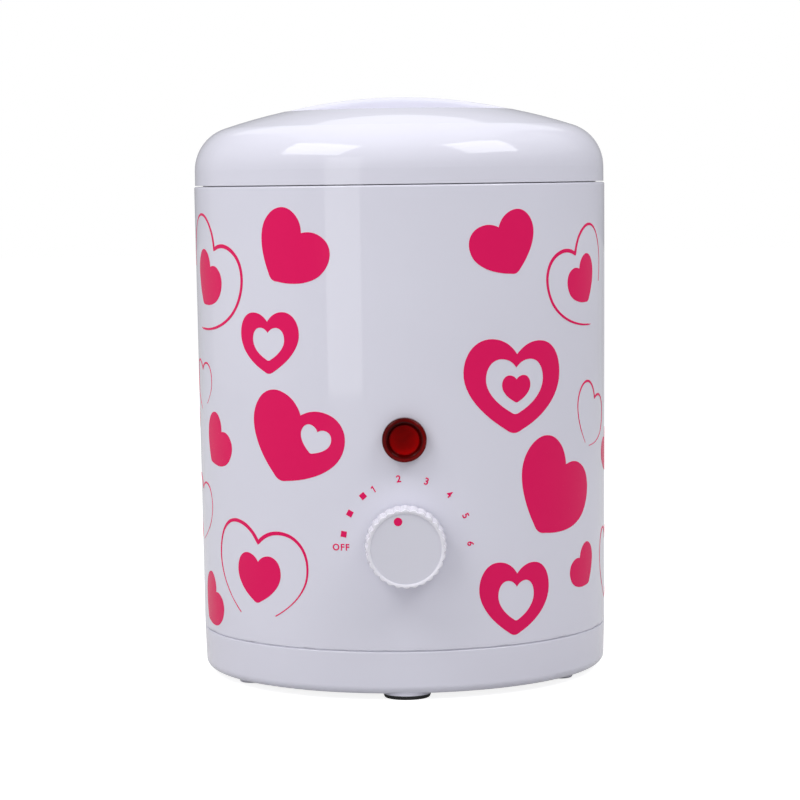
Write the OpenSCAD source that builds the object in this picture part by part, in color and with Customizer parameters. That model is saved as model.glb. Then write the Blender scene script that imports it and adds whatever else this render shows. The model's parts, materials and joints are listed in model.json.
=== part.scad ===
// Wax warmer: a round housing with a heated well, a lift-out pot and a lift-off lid.
// Millimetres. Z is up, the table is at z = 0, the housing's axis is the Z axis, and the front faces -Y.
// Azimuths are in degrees from the front, and grow towards +X.

/* [Housing] */
// Outer radius of the housing at the lid seam
shell_top_r = 80; // [74:0.25:90]
// How much narrower the housing's radius is at the base seam
shell_taper = 1.25; // [0.25:0.25:3]
// Wall of the housing, the base and the lid
wall = 2.6; // [2:0.1:3]
// Height of the lid seam above the table
lid_seam_z = 190; // [184:1:200]
// Height of the base seam above the table
base_seam_z = 18.7; // [17:0.1:21]
// Open gap at both seams
seam_gap = 0.4; // [0.3:0.05:0.8]
// Rounding of the moulded edges at the seams
edge_round = 0.7; // [0.4:0.1:1]

/* [Base] */
// Height of the base's underside above the table
base_bottom_z = 2.4; // [2:0.1:4]
// How much narrower the base's radius is at its bottom rounding
base_taper = 0.55; // [0.1:0.05:1.5]
// Rounding of the base's bottom edge
base_round = 3; // [2:0.25:4]
// Height of the ring that centres the base in the housing
spigot_h = 5; // [3:0.5:7]
// Wall of that ring
spigot_wall = 1.8; // [1.4:0.1:2.4]
// Distance from a foot's edge to the base's side
foot_margin = 1.2; // [1:0.1:4]
// Radius of a rubber foot
foot_r = 9; // [7:0.5:10]
// Thickness of a rubber foot's pad
foot_pad_h = 1.5; // [1:0.1:1.9]
// Radius of a screw boss of the base
boss_r = 5; // [4.8:0.1:6]
// Height of the screw bosses above the table
boss_clear_z = 0.4; // [0.3:0.1:1]
// Depth at which the base screws' heads sit in their bosses
base_screw_sink = 5; // [4:0.5:8]
// Shank radius of the base screws
base_screw_r = 1.75; // [1.5:0.05:2]
// Height of the housing's screw posts above the base seam
post_h = 15; // [13:0.5:17]
// Radius of the housing's screw posts
post_r = 4.2; // [4:0.1:5]

/* [Lid] */
// How far the lid's edge stands back from the housing's
lid_step = 0.35; // [0:0.05:1.5]
// Height of the lid's crown above the seam
lid_h = 33.1; // [31:0.1:36]
// Radius of the rounded shoulder
shoulder_r = 17; // [14:0.5:20]
// Radius of the crown's curve
crown_r = 216.4; // [200:1:240]
// Radius of the sunk dish in the crown
dish_r = 40; // [36:0.5:44]
// Depth of the dish's floor below the crown
dish_depth = 16.5; // [12:0.1:16.9]
// Rounding between the dish's floor and its side
dish_fillet = 5; // [3:0.5:7]
// Rounding of the dish's lip
dish_lip = 4; // [2:0.5:5]
// Width of the grip bar across the dish, at its top
grip_w = 15; // [12:0.5:20]
// How far the grip bar's crest rises above the crown
grip_rise = 0.4; // [0:0.1:2]
// Radius of the grip bar's crest along its length
grip_crest_r = 190; // [170:5:200]
// Draft of the grip bar's sides, in degrees
grip_draft = 5; // [2:0.5:8]
// Rounding of the grip bar's top edges
grip_round = 2.5; // [1:0.25:4]
// Depth of the lid's locating ring below the seam
skirt_h = 3.6; // [3:0.1:4]
// Wall of the locating ring
skirt_wall = 1.8; // [1.4:0.1:2.2]
// Gap between the locating ring and the housing
skirt_gap = 0.8; // [0.6:0.1:1.2]

/* [Collar] */
// Depth of the collar's top face below the lid seam
collar_drop = 4.8; // [4.6:0.1:6]
// Thickness of the collar
collar_t = 3; // [2.5:0.1:4]
// Height of the collar's foot above the housing's ledge
collar_foot_h = 3.1; // [2.5:0.1:5]
// Gap between the collar and the housing
collar_gap = 0.35; // [0.3:0.05:0.6]
// Width of the ledge inside the housing
ledge_w = 3; // [2.5:0.1:4]
// Thickness of the ledge
ledge_t = 2.6; // [2:0.1:4]
// Distance from the collar screws to the housing's inner wall
collar_screw_inset = 5.3; // [4.8:0.1:6.5]
// Distance from the well screws to the well's wall
well_screw_offset = 9.3; // [8.3:0.1:11]
// Shank radius of the small screws
screw_r = 1.5; // [1.25:0.05:1.6]

/* [Well] */
// Distance from the well's bore to the housing's outer edge at the lid seam
well_inset = 28.5; // [27:0.25:32]
// Wall of the well
well_wall = 1.2; // [1:0.1:1.5]
// Height of the well's floor above the thermostat's case
well_lift = 8.2; // [7.8:0.2:14]
// Width of the well's flange
well_flange_w = 5.4; // [4:0.1:6]
// Rounding inside the well's bottom edge
well_corner = 6; // [4:0.5:7]
// Rounding of the well's mouth
well_mouth = 1; // [0.5:0.1:1.1]
// Radius of the stud under the well
stud_r = 2.5; // [2:0.25:3]
// Length of the stud
stud_l = 13; // [12.5:0.25:15]

/* [Pot] */
// Gap between the pot and the well's bore
pot_gap = 1.9; // [1.7:0.1:3]
// Wall of the pot
pot_wall = 1.2; // [1:0.1:1.3]
// Gap between the upright bail and the lid
bail_lid_gap = 3.35; // [3:0.05:12]
// Rounding of the pot's bottom edge, outside
pot_corner = 8; // [7:0.5:12]
// Radius of the rolled rim
bead_r = 1.1; // [0.9:0.1:1.3]
// Thickness of an ear
ear_t = 1.2; // [1:0.1:1.4]
// Half the width of an ear, in degrees round the pot
ear_half_angle = 6.5; // [6:0.5:8]
// Height of the ears' lower edge below the rim
ear_drop = 18; // [15:1:25]
// Radius of an ear's rounded top
ear_top_r = 4.5; // [4:0.1:5]
// Rivet shank radius
rivet_r = 1.6; // [1.4:0.1:1.8]

/* [Bail] */
// Radius of the bail's wire
bail_wire_r = 1.4; // [1.2:0.05:1.6]
// Gap between the folded bail and the pot's rim
bail_rest_gap = 0.35; // [0.3:0.05:0.5]
// Gap between the bail's arms and the ears
bail_side_gap = 0.7; // [0.6:0.05:1]
// Running clearance of the bail's ends in the ears
bail_hole_gap = 0.08; // [0.05:0.01:0.1]

/* [Knob] */
// Height of the knob's axis above the table
knob_z = 58; // [57:0.5:59]
// Radius of the knob at the housing
knob_r = 15.1; // [14.5:0.1:17]
// How much the knob's radius falls towards its front
knob_taper = 0.8; // [0.5:0.1:1.4]
// Length of the knob
knob_l = 10.8; // [10:0.1:14]
// Gap between the knob and the housing
knob_gap = 0.9; // [0.6:0.1:1.5]
// Wall of the knob
knob_wall = 1.8; // [1.4:0.1:2.2]
// Depth of the knob's sunk face
knob_sink = 0.5; // [0.3:0.1:1]
// Width of the smooth rim round the knob's face
knob_rim_w = 1.3; // [1:0.1:2]
// Depth of the smooth rim in front of the flutes
knob_rim_l = 1; // [0.8:0.1:2]
// Number of flutes
flute_count = 28; // [20:1:32]
// Radius of a flute
flute_r = 1.05; // [0.8:0.05:1.2]
// Depth of a flute at the housing
flute_depth = 0.85; // [0.5:0.05:0.9]
// Depth of a flute at its front
flute_front_depth = 0.65; // [0.4:0.05:0.8]
// Radius of the knob's hub
hub_r = 5.4; // [5:0.1:6]
// Radius of the pointer's dimple
pointer_r = 1.55; // [1:0.05:2]
// Distance of the pointer from the knob's axis
pointer_at_r = 10.05; // [9:0.05:10.5]
// Angle of the pointer, clockwise from straight up
pointer_angle = -15.4; // [-92:0.1:89]

/* [Pilot lamp] */
// Height of the lamp above the knob's axis
lamp_rise = 39; // [35:0.5:44]
// Radius of the lens
lens_r = 8.2; // [7.5:0.1:9]
// How far the lens stands out of the housing
lens_proud = 4; // [3:0.1:5]
// Radius of the sunk disc in the lens
lens_disc_r = 5.45; // [4.8:0.05:5.5]
// Depth of the sunk disc
lens_sink = 1.8; // [1:0.1:2]
// Radius of the lamp's barrel
barrel_r = 6.3; // [6:0.1:6.5]
// Length of the barrel behind the housing's face
barrel_l = 12.5; // [11:0.5:13]

/* [Cord entry] */
// Height of the cord entry above the table
cord_z = 46; // [44:0.5:50]
// Radius of the grommet's bore
cord_r = 3.6; // [3:0.1:4]
// Radius of the grommet's neck
grommet_neck_r = 6; // [5.5:0.1:6.5]
// Radius of the grommet's flanges
grommet_r = 8.5; // [8:0.1:9]
// Thickness of each flange
grommet_flange_t = 2.4; // [1.5:0.1:3]

/* [Thermostat] */
// Radius of the control shaft
shaft_r = 3; // [2.5:0.1:3.2]
// Running clearance of the shaft in its bush
shaft_gap = 0.05; // [0.03:0.01:0.1]
// Width of the thermostat's case
case_w = 26; // [24:0.5:28]
// Height of the thermostat's case
case_h = 34; // [28:1:34]
// Depth of the thermostat's case
case_d = 22; // [18:0.5:24]
// Distance from the housing's face to the front of the thermostat's case
case_setback = 12.7; // [12:0.1:14]
// Thickness of the thermostat's bracket
bracket_t = 1.5; // [1:0.1:2]
// Distance of the bracket screws from the shaft
bracket_screw_x = 19; // [18:0.25:20]

/* [Heater] */
// Azimuth of the slot that holds the sensor
slot_az = 60; // [50:1:70]
// Thickness of the heater band
band_t = 1.4; // [1:0.1:1.8]
// Distance from the heater band's upper edge to the well's clips
band_margin = 15.8; // [12:0.1:24]
// Height of the heater band's lower edge above the well's floor
band_lift = 9; // [8:0.5:10]
// Thickness of the straps round the band
strap_t = 0.6; // [0.5:0.05:0.8]
// Width of the straps
strap_w = 8; // [6:0.5:10]
// Thickness of the insulation sleeve
sleeve_t = 4; // [3:0.1:4]
// Distance from the insulation sleeve's upper edge to the well's clips
sleeve_margin = 1; // [0.5:0.1:6]
// Radius of the sensor bulb
bulb_r = 2.5; // [2:0.1:2.8]
// Distance from the sensor bulb's top to the height of the well's clips
bulb_margin = 6.8; // [4:0.1:14]
// Radius of the sensor's capillary tube
capillary_r = 1; // [0.8:0.1:1.2]
// Thickness of the heat shield
shield_t = 0.8; // [0.6:0.1:1]
// Thickness of the insulation pad on the heat shield
pad_t = 4.5; // [3.5:0.1:5]
// How much smaller the heat shield's radius is than the well's bore
shield_inset = 0.5; // [0:0.1:3]

/* [Wiring] */
// Radius of the inner wires
wire_r = 1.1; // [0.9:0.05:1.2]
// Height of the terminal block's pads above the base's floor
block_pad_h = 3; // [2:0.5:5]

/* [Hidden] */

$fn = 96;
small_fn = 32;
wire_fn = 24;
flute_sides = 8;

// General clearances
touch_gap = 0.05;
seat_gap = 0.3;
overcut = 1;

// Radii of the housing, the base and the lid
shell_base_r = shell_top_r - shell_taper;
base_bottom_r = shell_base_r - base_taper;
foot_circle_r = base_bottom_r - foot_r - foot_margin;
lid_r = shell_top_r - lid_step;

// Levels of the housing
shell_bottom_z = base_seam_z + seam_gap / 2;
shell_top_z = lid_seam_z - seam_gap / 2;
base_top_z = base_seam_z - seam_gap / 2;
lid_bottom_z = lid_seam_z + seam_gap / 2;
base_floor_z = base_bottom_z + wall;
collar_top_z = lid_seam_z - collar_drop;
collar_bottom_z = collar_top_z - collar_t;
ledge_top_z = collar_bottom_z - collar_foot_h;
ledge_bottom_z = ledge_top_z - ledge_t;
pad_bottom_z = ledge_bottom_z - 1;
collar_screw_circle_r = shell_in(ledge_top_z) - collar_screw_inset;

// Azimuths of what repeats round the axis
three = 3;
foot_az = 0;
boss_az = 60;
well_clip_az = 30;
collar_screw_az = 90;

// Lid curves
dish_floor_h = lid_h - dish_depth;
grip_h = lid_h + grip_rise;
crown_z = lid_seam_z + lid_h - crown_r;
shoulder_x = lid_r - shoulder_r;
shoulder_z = crown_z + sqrt(pow(crown_r - shoulder_r, 2) - pow(shoulder_x, 2));
shoulder_angle = atan2(shoulder_z - crown_z, shoulder_x);
dish_floor_z = lid_seam_z + dish_floor_h;
grip_axis_z = lid_seam_z + grip_h - grip_crest_r;
skirt_r = shell_in(lid_seam_z) - skirt_gap;

// Well and what hangs under it
well_r = shell_top_r - well_inset;
well_floor_z = knob_z + case_h / 2 + well_lift;
well_out_r = well_r + well_wall;
well_screw_circle_r = well_out_r + well_screw_offset;
tab_drop = 4.2;
well_clip_t = 1;
well_clip_leg = 13;
well_clip_bottom_z = well_tab_z() - well_clip_t - well_clip_leg;
well_bottom_z = well_floor_z - well_wall;
flange_r = well_out_r + well_flange_w;
flange_bottom_z = collar_top_z - well_wall;
pad_top_z = well_bottom_z - seat_gap;
shield_r = well_r - shield_inset;
shield_top_z = pad_top_z - pad_t;
shield_bottom_z = shield_top_z - shield_t;
tag_t = 0.8;
tag_l = 16;
washer_t = 0.8;
nut_h = 4;
nut_r = 4.6;

// Heater, sleeve and sensor
band_z = well_floor_z + band_lift;
band_r = well_out_r + touch_gap;
band_h = well_clip_bottom_z - band_margin - band_z;
band_half_gap = slot_angle(11.9);
terminal_az = slot_angle(15.4);
terminal_r = well_out_r + 8;
sleeve_half_gap = slot_angle(18.9);
strap_r = band_r + band_t + touch_gap;
strap_inset = 7;
strap_half_gap = slot_angle(5.7);
lug_l = 8.5;
lug_t = 0.8;
lug_screw_r = well_out_r + 7.3;
strap_head_r = 2 * screw_r - 0.2;
sleeve_r = strap_r + strap_t + 0.9;
sleeve_z = well_floor_z + 0.8;
sleeve_h = well_clip_bottom_z - sleeve_margin - sleeve_z;
bulb_at_r = well_out_r + 2 * touch_gap + bulb_r;
bulb_z = band_z - 1;
bulb_l = well_clip_bottom_z - bulb_margin - bulb_z;
clip_t = 0.6;
clip_h = 8;
fuse_r = 2;
fuse_l = 11;
fuse_offset = -8;
fuse_z = bulb_z + bulb_l - fuse_l;

// Pot, ears and bail
pot_r = well_r - pot_gap;
pot_in_r = pot_r - pot_wall;
bead_at_r = pot_in_r + bead_r;
pivot_z = dish_floor_z - wall - bail_lid_gap - bead_at_r - bail_wire_r;
rim_z = pivot_z - bail_wire_r - bail_rest_gap;
pot_z = well_floor_z + seat_gap;
ear_r = pot_in_r - touch_gap;
ear_hole_r = bail_wire_r + bail_hole_gap;
arm_x = ear_r - ear_t - bail_side_gap - bail_wire_r;
pin_end_x = ear_r + 1.2;
pin_head_r = bail_wire_r + 0.25;
pin_head_t = 0.8;

// Front controls
case_front = shell_r(knob_z) - case_setback;
knob_back = shell_r(knob_z) + knob_gap;
knob_face = knob_back + knob_l;
knob_front_r = knob_r - knob_taper;
knob_top_t = 2.2;
shaft_hole_r = shaft_r + 1.5;
shaft_start = case_front - case_d + 6;
shaft_end = knob_face - knob_top_t - 1;
flat_depth = 1.2;
flat_l = 9;
lamp_z = knob_z + lamp_rise;
lamp_front = shell_r(lamp_z);
bush_r = shaft_r + 2;
bush_l = 3;
bracket_front = case_front + bracket_t;
bracket_post_r = 3.5;

// Rear cord entry
cord_front = shell_r(cord_z);

// Terminal block
block_at = [-30, 30];
block_ways = 3;
block_pitch = 10.5;
block_way_r = 4.6;
block_l = 18;
block_z = base_floor_z + block_pad_h;
block_head_r = 1.3 * screw_r;

// Radii of the housing's outside and inside at a height
function shell_r(z) = shell_base_r
    + (shell_top_r - shell_base_r) * (z - base_seam_z) / (lid_seam_z - base_seam_z);
function shell_in(z) = shell_r(z) - wall;

// Inner radius where a flat ring of some radius meets the wall from inside, round a front or rear axis
function wall_seat(z, r) = sqrt(pow(min(shell_in(z - r), shell_in(z + r)), 2) - pow(r, 2)) - touch_gap;

// Half the angle of an opening round the well, from half its width
function slot_angle(half_width) = asin(half_width / well_out_r);

// Point at a radius, an azimuth and a height
function polar(r, az, z) = [r * sin(az), -r * cos(az), z];

// Vector helpers for the rounded profiles
function unit(v) = v / norm(v);
function xy(p) = [p.x, p.y];
function turn(a, b, c) = (b.x - a.x) * (c.y - b.y) - (b.y - a.y) * (c.x - b.x);

// Places children round the axis, evenly from a first azimuth
module around(count, first) {
    for (i = [0 : count - 1]) rotate([0, 0, first + i * 360 / count]) children();
}

// Turns the children's +Z to the front, at a height
module front(z) {
    translate([0, 0, z]) rotate([90, 0, 0]) children();
}

// Turns the children's +Z to the rear, at a height
module rear(z) {
    translate([0, 0, z]) rotate([-90, 0, 0]) children();
}

// The sliver between a corner and the arc that rounds it
module corner_sliver(a, b, c, r) {
    half = acos(unit(a - b) * unit(c - b)) / 2;
    reach = r / tan(half);
    centre = b + unit(unit(a - b) + unit(c - b)) * r / sin(half);
    difference() {
        polygon([b, b + unit(a - b) * reach, centre, b + unit(c - b) * reach]);
        translate(centre) circle(r = r, $fn = r < 4 ? small_fn : $fn);
    }
}

// Profile through [x, y, radius] corners, counter-clockwise, each rounded by a true arc
module rounded(corners) {
    n = len(corners);
    difference() {
        union() {
            polygon([for (p = corners) xy(p)]);
            for (i = [0 : n - 1]) {
                a = xy(corners[(i + n - 1) % n]);
                b = xy(corners[i]);
                c = xy(corners[(i + 1) % n]);
                if (corners[i].z > 0 && turn(a, b, c) < 0) corner_sliver(a, b, c, corners[i].z);
            }
        }
        for (i = [0 : n - 1]) {
            a = xy(corners[(i + n - 1) % n]);
            b = xy(corners[i]);
            c = xy(corners[(i + 1) % n]);
            if (corners[i].z > 0 && turn(a, b, c) > 0) corner_sliver(a, b, c, corners[i].z);
        }
    }
}

// Rectangle with rounded corners, centred
module rounded_rect(w, h, r) {
    rounded([[-w / 2, -h / 2, r], [w / 2, -h / 2, r], [w / 2, h / 2, r], [-w / 2, h / 2, r]]);
}

// Sector of a disc between two angles
module sector(r, from, to) {
    intersection() {
        circle(r = r);
        polygon([[0, 0], 2 * r * [cos(from), sin(from)], 2 * r * [cos(to), sin(to)]]);
    }
}

// Ring with a gap, centred on an azimuth, from one height up
module split_ring(r, t, z, h, az, half_gap) {
    rotate([0, 0, az - 90 + half_gap]) rotate_extrude(angle = 360 - 2 * half_gap)
        translate([r, z]) square([t, h]);
}

// The housing's outside as a solid, made smaller by an inset
module housing_solid(inset) {
    translate([0, 0, base_bottom_z])
        cylinder(
            h = lid_seam_z - base_bottom_z,
            r1 = shell_r(base_bottom_z) - inset,
            r2 = shell_r(lid_seam_z) - inset
        );
}

// Pan-head screw along +Z, its head under z = 0
module pan_screw(r, length, head_r, head_h) {
    translate([0, 0, -overcut / 10]) cylinder(h = length + overcut / 10, r = r, $fn = small_fn);
    rotate_extrude($fn = small_fn)
        rounded([[0, -head_h, 0], [head_r, -head_h, head_h * 0.6], [head_r, 0, 0], [0, 0, 0]]);
}

// Straight stretches of round wire, with a slightly wider ball at each bend
module wire(path, r) {
    for (i = [0 : len(path) - 2]) {
        d = path[i + 1] - path[i];
        translate(path[i]) rotate([0, acos(d.z / norm(d)), atan2(d.y, d.x)])
            cylinder(h = norm(d), r = r, $fn = wire_fn);
        if (i > 0) translate(path[i]) rotate([40, 25, 0]) sphere(r = 1.2 * r, $fn = wire_fn);
    }
}

// Section of the housing's wall with the collar's ledge and its gusset
module shell_profile() {
    rounded([
        [shell_in(shell_bottom_z), shell_bottom_z, 0],
        [shell_r(shell_bottom_z), shell_bottom_z, edge_round],
        [shell_r(shell_top_z), shell_top_z, edge_round],
        [shell_in(shell_top_z), shell_top_z, 0],
        [shell_in(ledge_top_z), ledge_top_z, 0],
        [shell_in(ledge_top_z) - ledge_w, ledge_top_z, 0],
        [shell_in(ledge_top_z) - ledge_w, ledge_bottom_z, 0],
        [shell_in(ledge_bottom_z - ledge_w), ledge_bottom_z - ledge_w, 0]
    ]);
}

// The housing: a slightly tapered drum with posts for the base, lugs for the collar
// and posts for the thermostat's bracket
module outer_shell() {
    post_z = shell_bottom_z;
    post_top_z = base_seam_z + post_h;
    rib_t = 2;
    rib_z = post_z + spigot_h + overcut;
    bracket_post_end = sqrt(pow(shell_r(knob_z), 2) - pow(bracket_screw_x + bracket_post_r, 2)) - 0.4;
    color("white") difference() {
        union() {
            rotate_extrude() shell_profile();
            around(three, boss_az) {
                translate([0, -foot_circle_r, post_z])
                    cylinder(h = post_top_z - post_z, r = post_r, $fn = small_fn);
                translate([-rib_t / 2, -shell_in(post_z) - wall / 2, rib_z])
                    cube([rib_t, shell_in(post_z) + wall / 2 - foot_circle_r, post_top_z - 1 - rib_z]);
            }
            around(three, collar_screw_az)
                translate([0, -collar_screw_circle_r, pad_bottom_z])
                    cylinder(h = ledge_top_z - 0.1 - pad_bottom_z, r = screw_r + 3.3, $fn = small_fn);
            for (side = [-1, 1])
                front(knob_z) translate([side * bracket_screw_x, 0, bracket_front])
                    cylinder(h = bracket_post_end - bracket_front, r = bracket_post_r, $fn = small_fn);
        }
        around(three, boss_az)
            translate([0, -foot_circle_r, post_z - overcut])
                cylinder(h = post_h - 2 + overcut, r = base_screw_r + touch_gap, $fn = small_fn);
        around(three, collar_screw_az)
            translate([0, -collar_screw_circle_r, pad_bottom_z - overcut])
                cylinder(h = ledge_t + 3 * overcut, r = screw_r + seat_gap, $fn = small_fn);
        for (side = [-1, 1])
            front(knob_z) translate([side * bracket_screw_x, 0, bracket_front - overcut])
                cylinder(h = 6 + overcut, r = screw_r + touch_gap, $fn = small_fn);
        front(knob_z) translate([0, 0, case_front]) cylinder(h = shell_top_r, r = shaft_hole_r);
        front(lamp_z) translate([0, 0, case_front])
            cylinder(h = shell_top_r, r = barrel_r + touch_gap);
        rear(cord_z) translate([0, 0, foot_circle_r + post_r])
            cylinder(h = shell_top_r, r = grommet_neck_r + touch_gap);
    }
}

// Section of the base pan with the ring that centres it in the housing
module base_profile() {
    ring_r = shell_in(base_seam_z) - seat_gap;
    side_in = base_bottom_r - wall;
    rounded([
        [0, base_bottom_z, 0],
        [base_bottom_r, base_bottom_z, base_round],
        [shell_base_r, base_top_z, edge_round],
        [ring_r, base_top_z, 0],
        [ring_r, base_top_z + spigot_h, edge_round],
        [ring_r - spigot_wall, base_top_z + spigot_h, 0],
        [ring_r - spigot_wall, base_top_z - 2, 0],
        [side_in, base_top_z - 4, 0],
        [side_in, base_floor_z, 2.5],
        [0, base_floor_z, 0]
    ]);
}

// Underside cooling slots in a ring
module base_slots() {
    slot_r = 1.5;
    slot_from = 26;
    slot_to = 50;
    around(12, 15) translate([0, 0, base_bottom_z - overcut]) linear_extrude(wall + 2 * overcut) {
        for (end = [slot_from, slot_to]) translate([0, -end]) circle(r = slot_r, $fn = small_fn);
        translate([-slot_r, -slot_to]) square([2 * slot_r, slot_to - slot_from]);
    }
}

// The base pan, closed below, with foot seats, screw bosses and pads for the terminal block
module base_cover() {
    color("white") difference() {
        union() {
            rotate_extrude() base_profile();
            around(three, foot_az)
                translate([0, -foot_circle_r, foot_pad_h])
                    cylinder(h = base_floor_z - foot_pad_h - wall / 2, r = foot_r + touch_gap);
            around(three, boss_az)
                translate([0, -foot_circle_r, 0]) rotate_extrude($fn = small_fn)
                    rounded([
                        [0, boss_clear_z, 0],
                        [boss_r, boss_clear_z, edge_round],
                        [boss_r, base_top_z, 0],
                        [0, base_top_z, 0]
                    ]);
            block_pads() cylinder(h = block_pad_h + overcut, r = 3.4, $fn = small_fn);
        }
        around(three, foot_az)
            translate([0, -foot_circle_r, 0])
                cylinder(h = base_floor_z + overcut, r = foot_nub_r() + touch_gap, $fn = small_fn);
        around(three, boss_az) {
            translate([0, -foot_circle_r, 0])
                cylinder(h = boss_clear_z + base_screw_sink, r = base_head_r() + seat_gap, $fn = small_fn);
            translate([0, -foot_circle_r, 0])
                cylinder(h = base_top_z + overcut, r = base_screw_r + seat_gap, $fn = small_fn);
        }
        base_slots();
        block_pads() cylinder(h = block_pad_h + 2 * overcut, r = screw_r + touch_gap, $fn = small_fn);
    }
}

function foot_nub_r() = foot_r / 3;
function base_head_r() = 2 * base_screw_r;

// Places children on the two pads that carry the terminal block, from just inside the base's floor
module block_pads() {
    for (side = [-1, 1])
        translate([block_at.x + side * block_pitch / 2, block_at.y, base_floor_z - overcut]) children();
}

// Push-in rubber feet: a tapered pad, a neck and a head above the base's floor
module rubber_feet() {
    nub_r = foot_nub_r();
    color("black") around(three, foot_az) translate([0, -foot_circle_r, 0]) rotate_extrude()
        rounded([
            [0, 0, 0],
            [foot_r - 0.6, 0, 0.4],
            [foot_r, foot_pad_h, 0],
            [nub_r, foot_pad_h, 0],
            [nub_r, base_floor_z + touch_gap, 0],
            [nub_r + 0.8, base_floor_z + touch_gap, 0],
            [nub_r, base_floor_z + 2, 0.5],
            [0, base_floor_z + 2, 0]
        ]);
}

// Screws that hold the base, up through its bosses into the housing's posts
module base_screws() {
    head_seat_z = boss_clear_z + base_screw_sink;
    color("silver") around(three, boss_az)
        translate([0, -foot_circle_r, head_seat_z])
            pan_screw(base_screw_r, base_seam_z + post_h - 3 - head_seat_z, base_head_r(), 2.4);
}

// Section of the collar that closes the ring between the housing and the well
module collar_profile() {
    in_r = well_out_r + 2 * seat_gap;
    out_r = shell_in(ledge_top_z) - collar_gap;
    foot_in_r = shell_in(ledge_top_z) - ledge_w;
    rounded([
        [in_r, collar_bottom_z, 0],
        [foot_in_r, collar_bottom_z, 0],
        [foot_in_r, ledge_top_z, 0],
        [out_r, ledge_top_z, 0],
        [out_r, collar_top_z, edge_round],
        [flange_r + seat_gap, collar_top_z, edge_round / 2],
        [flange_r + seat_gap, flange_bottom_z, 0],
        [in_r, flange_bottom_z, 0]
    ]);
}

// The collar, with bosses for its own screws and for those that draw the well down
module top_collar() {
    boss_wall = 2.1;
    color("white") difference() {
        union() {
            rotate_extrude() collar_profile();
            around(three, well_clip_az)
                translate([0, -well_screw_circle_r, well_tab_z()])
                    cylinder(h = collar_bottom_z - well_tab_z() + overcut, r = screw_r + boss_wall, $fn = small_fn);
            around(three, collar_screw_az)
                translate([0, -collar_screw_circle_r, ledge_top_z])
                    cylinder(h = collar_foot_h + overcut, r = screw_r + boss_wall, $fn = small_fn);
        }
        around(three, well_clip_az)
            translate([0, -well_screw_circle_r, well_tab_z() - overcut])
                cylinder(h = collar_top_z - 1.5 - well_tab_z() + overcut, r = screw_r + touch_gap, $fn = small_fn);
        around(three, collar_screw_az)
            translate([0, -collar_screw_circle_r, ledge_top_z - overcut])
                cylinder(h = collar_top_z - 1.5 - ledge_top_z + overcut, r = screw_r + touch_gap, $fn = small_fn);
    }
}

// Top of the well clips' tabs, where the collar's bosses meet them
function well_tab_z() = collar_bottom_z - tab_drop;

module collar_screws() {
    color("silver") around(three, collar_screw_az)
        translate([0, -collar_screw_circle_r, pad_bottom_z])
            pan_screw(screw_r, collar_top_z - 2 - pad_bottom_z, 2 * screw_r, 2.2);
}

// The drawn well: a straight bore with a rounded bottom edge, a flange and a stud
module heating_well() {
    color("silver") {
        rotate_extrude() rounded([
            [0, well_bottom_z, 0],
            [well_out_r, well_bottom_z, well_corner + well_wall],
            [well_out_r, flange_bottom_z, 0],
            [flange_r, flange_bottom_z, 0],
            [flange_r, collar_top_z, 0.4],
            [well_r, collar_top_z, well_mouth],
            [well_r, well_floor_z, well_corner],
            [0, well_floor_z, 0]
        ]);
        translate([0, 0, well_bottom_z - stud_l])
            cylinder(h = stud_l + well_wall / 2, r = stud_r, $fn = small_fn);
    }
}

// Angle clips on the well's wall, drawn down onto the collar by their screws
module well_clips() {
    clip_w = 12;
    in_r = well_out_r + touch_gap;
    tab_r = well_screw_circle_r + screw_r + 2;
    tab_z = well_tab_z() - well_clip_t;
    color("silver") around(three, well_clip_az) difference() {
        rotate([90, 0, -90]) translate([0, 0, -clip_w / 2]) linear_extrude(clip_w)
            rounded([
                [in_r, well_clip_bottom_z, 0],
                [in_r + well_clip_t, well_clip_bottom_z, 0],
                [in_r + well_clip_t, tab_z, 1],
                [tab_r, tab_z, 0],
                [tab_r, well_tab_z(), 0],
                [in_r, well_tab_z(), 2]
            ]);
        translate([0, -well_screw_circle_r, tab_z - overcut])
            cylinder(h = well_clip_t + 2 * overcut, r = screw_r + seat_gap, $fn = small_fn);
    }
}

module well_screws() {
    color("silver") around(three, well_clip_az)
        translate([0, -well_screw_circle_r, well_tab_z() - 1])
            pan_screw(screw_r, collar_top_z - 2 - well_tab_z() + 1, 2 * screw_r, 2.2);
}

// Mica heater band round the well, open at the sensor's slot, with a terminal post near each end
module heater_band() {
    color("tan") {
        split_ring(band_r, band_t, band_z, band_h, slot_az, band_half_gap);
        for (side = [-1, 1])
            rotate([0, 0, slot_az + side * terminal_az]) translate([0, -band_r - band_t / 2, band_z + band_h / 2])
                rotate([90, 0, 0]) cylinder(h = terminal_r - band_r - band_t / 2, r = 1.5, $fn = small_fn);
    }
}

// Heights of the two straps
function strap_zs() = [band_z + strap_inset, band_z + band_h - strap_inset - strap_w];

// Steel straps that clamp the band, each with two turned-out lugs
module heater_straps() {
    color("silver") for (z = strap_zs()) {
        split_ring(strap_r, strap_t, z, strap_w, slot_az, strap_half_gap);
        for (side = [-1, 1])
            rotate([0, 0, slot_az + side * strap_half_gap]) difference() {
                translate([-lug_t / 2, -strap_r - lug_l, z]) cube([lug_t, lug_l, strap_w]);
                translate([-lug_t, -lug_screw_r, z + strap_w / 2])
                    rotate([0, 90, 0]) cylinder(h = 2 * lug_t, r = screw_r + seat_gap, $fn = small_fn);
            }
    }
}

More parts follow.
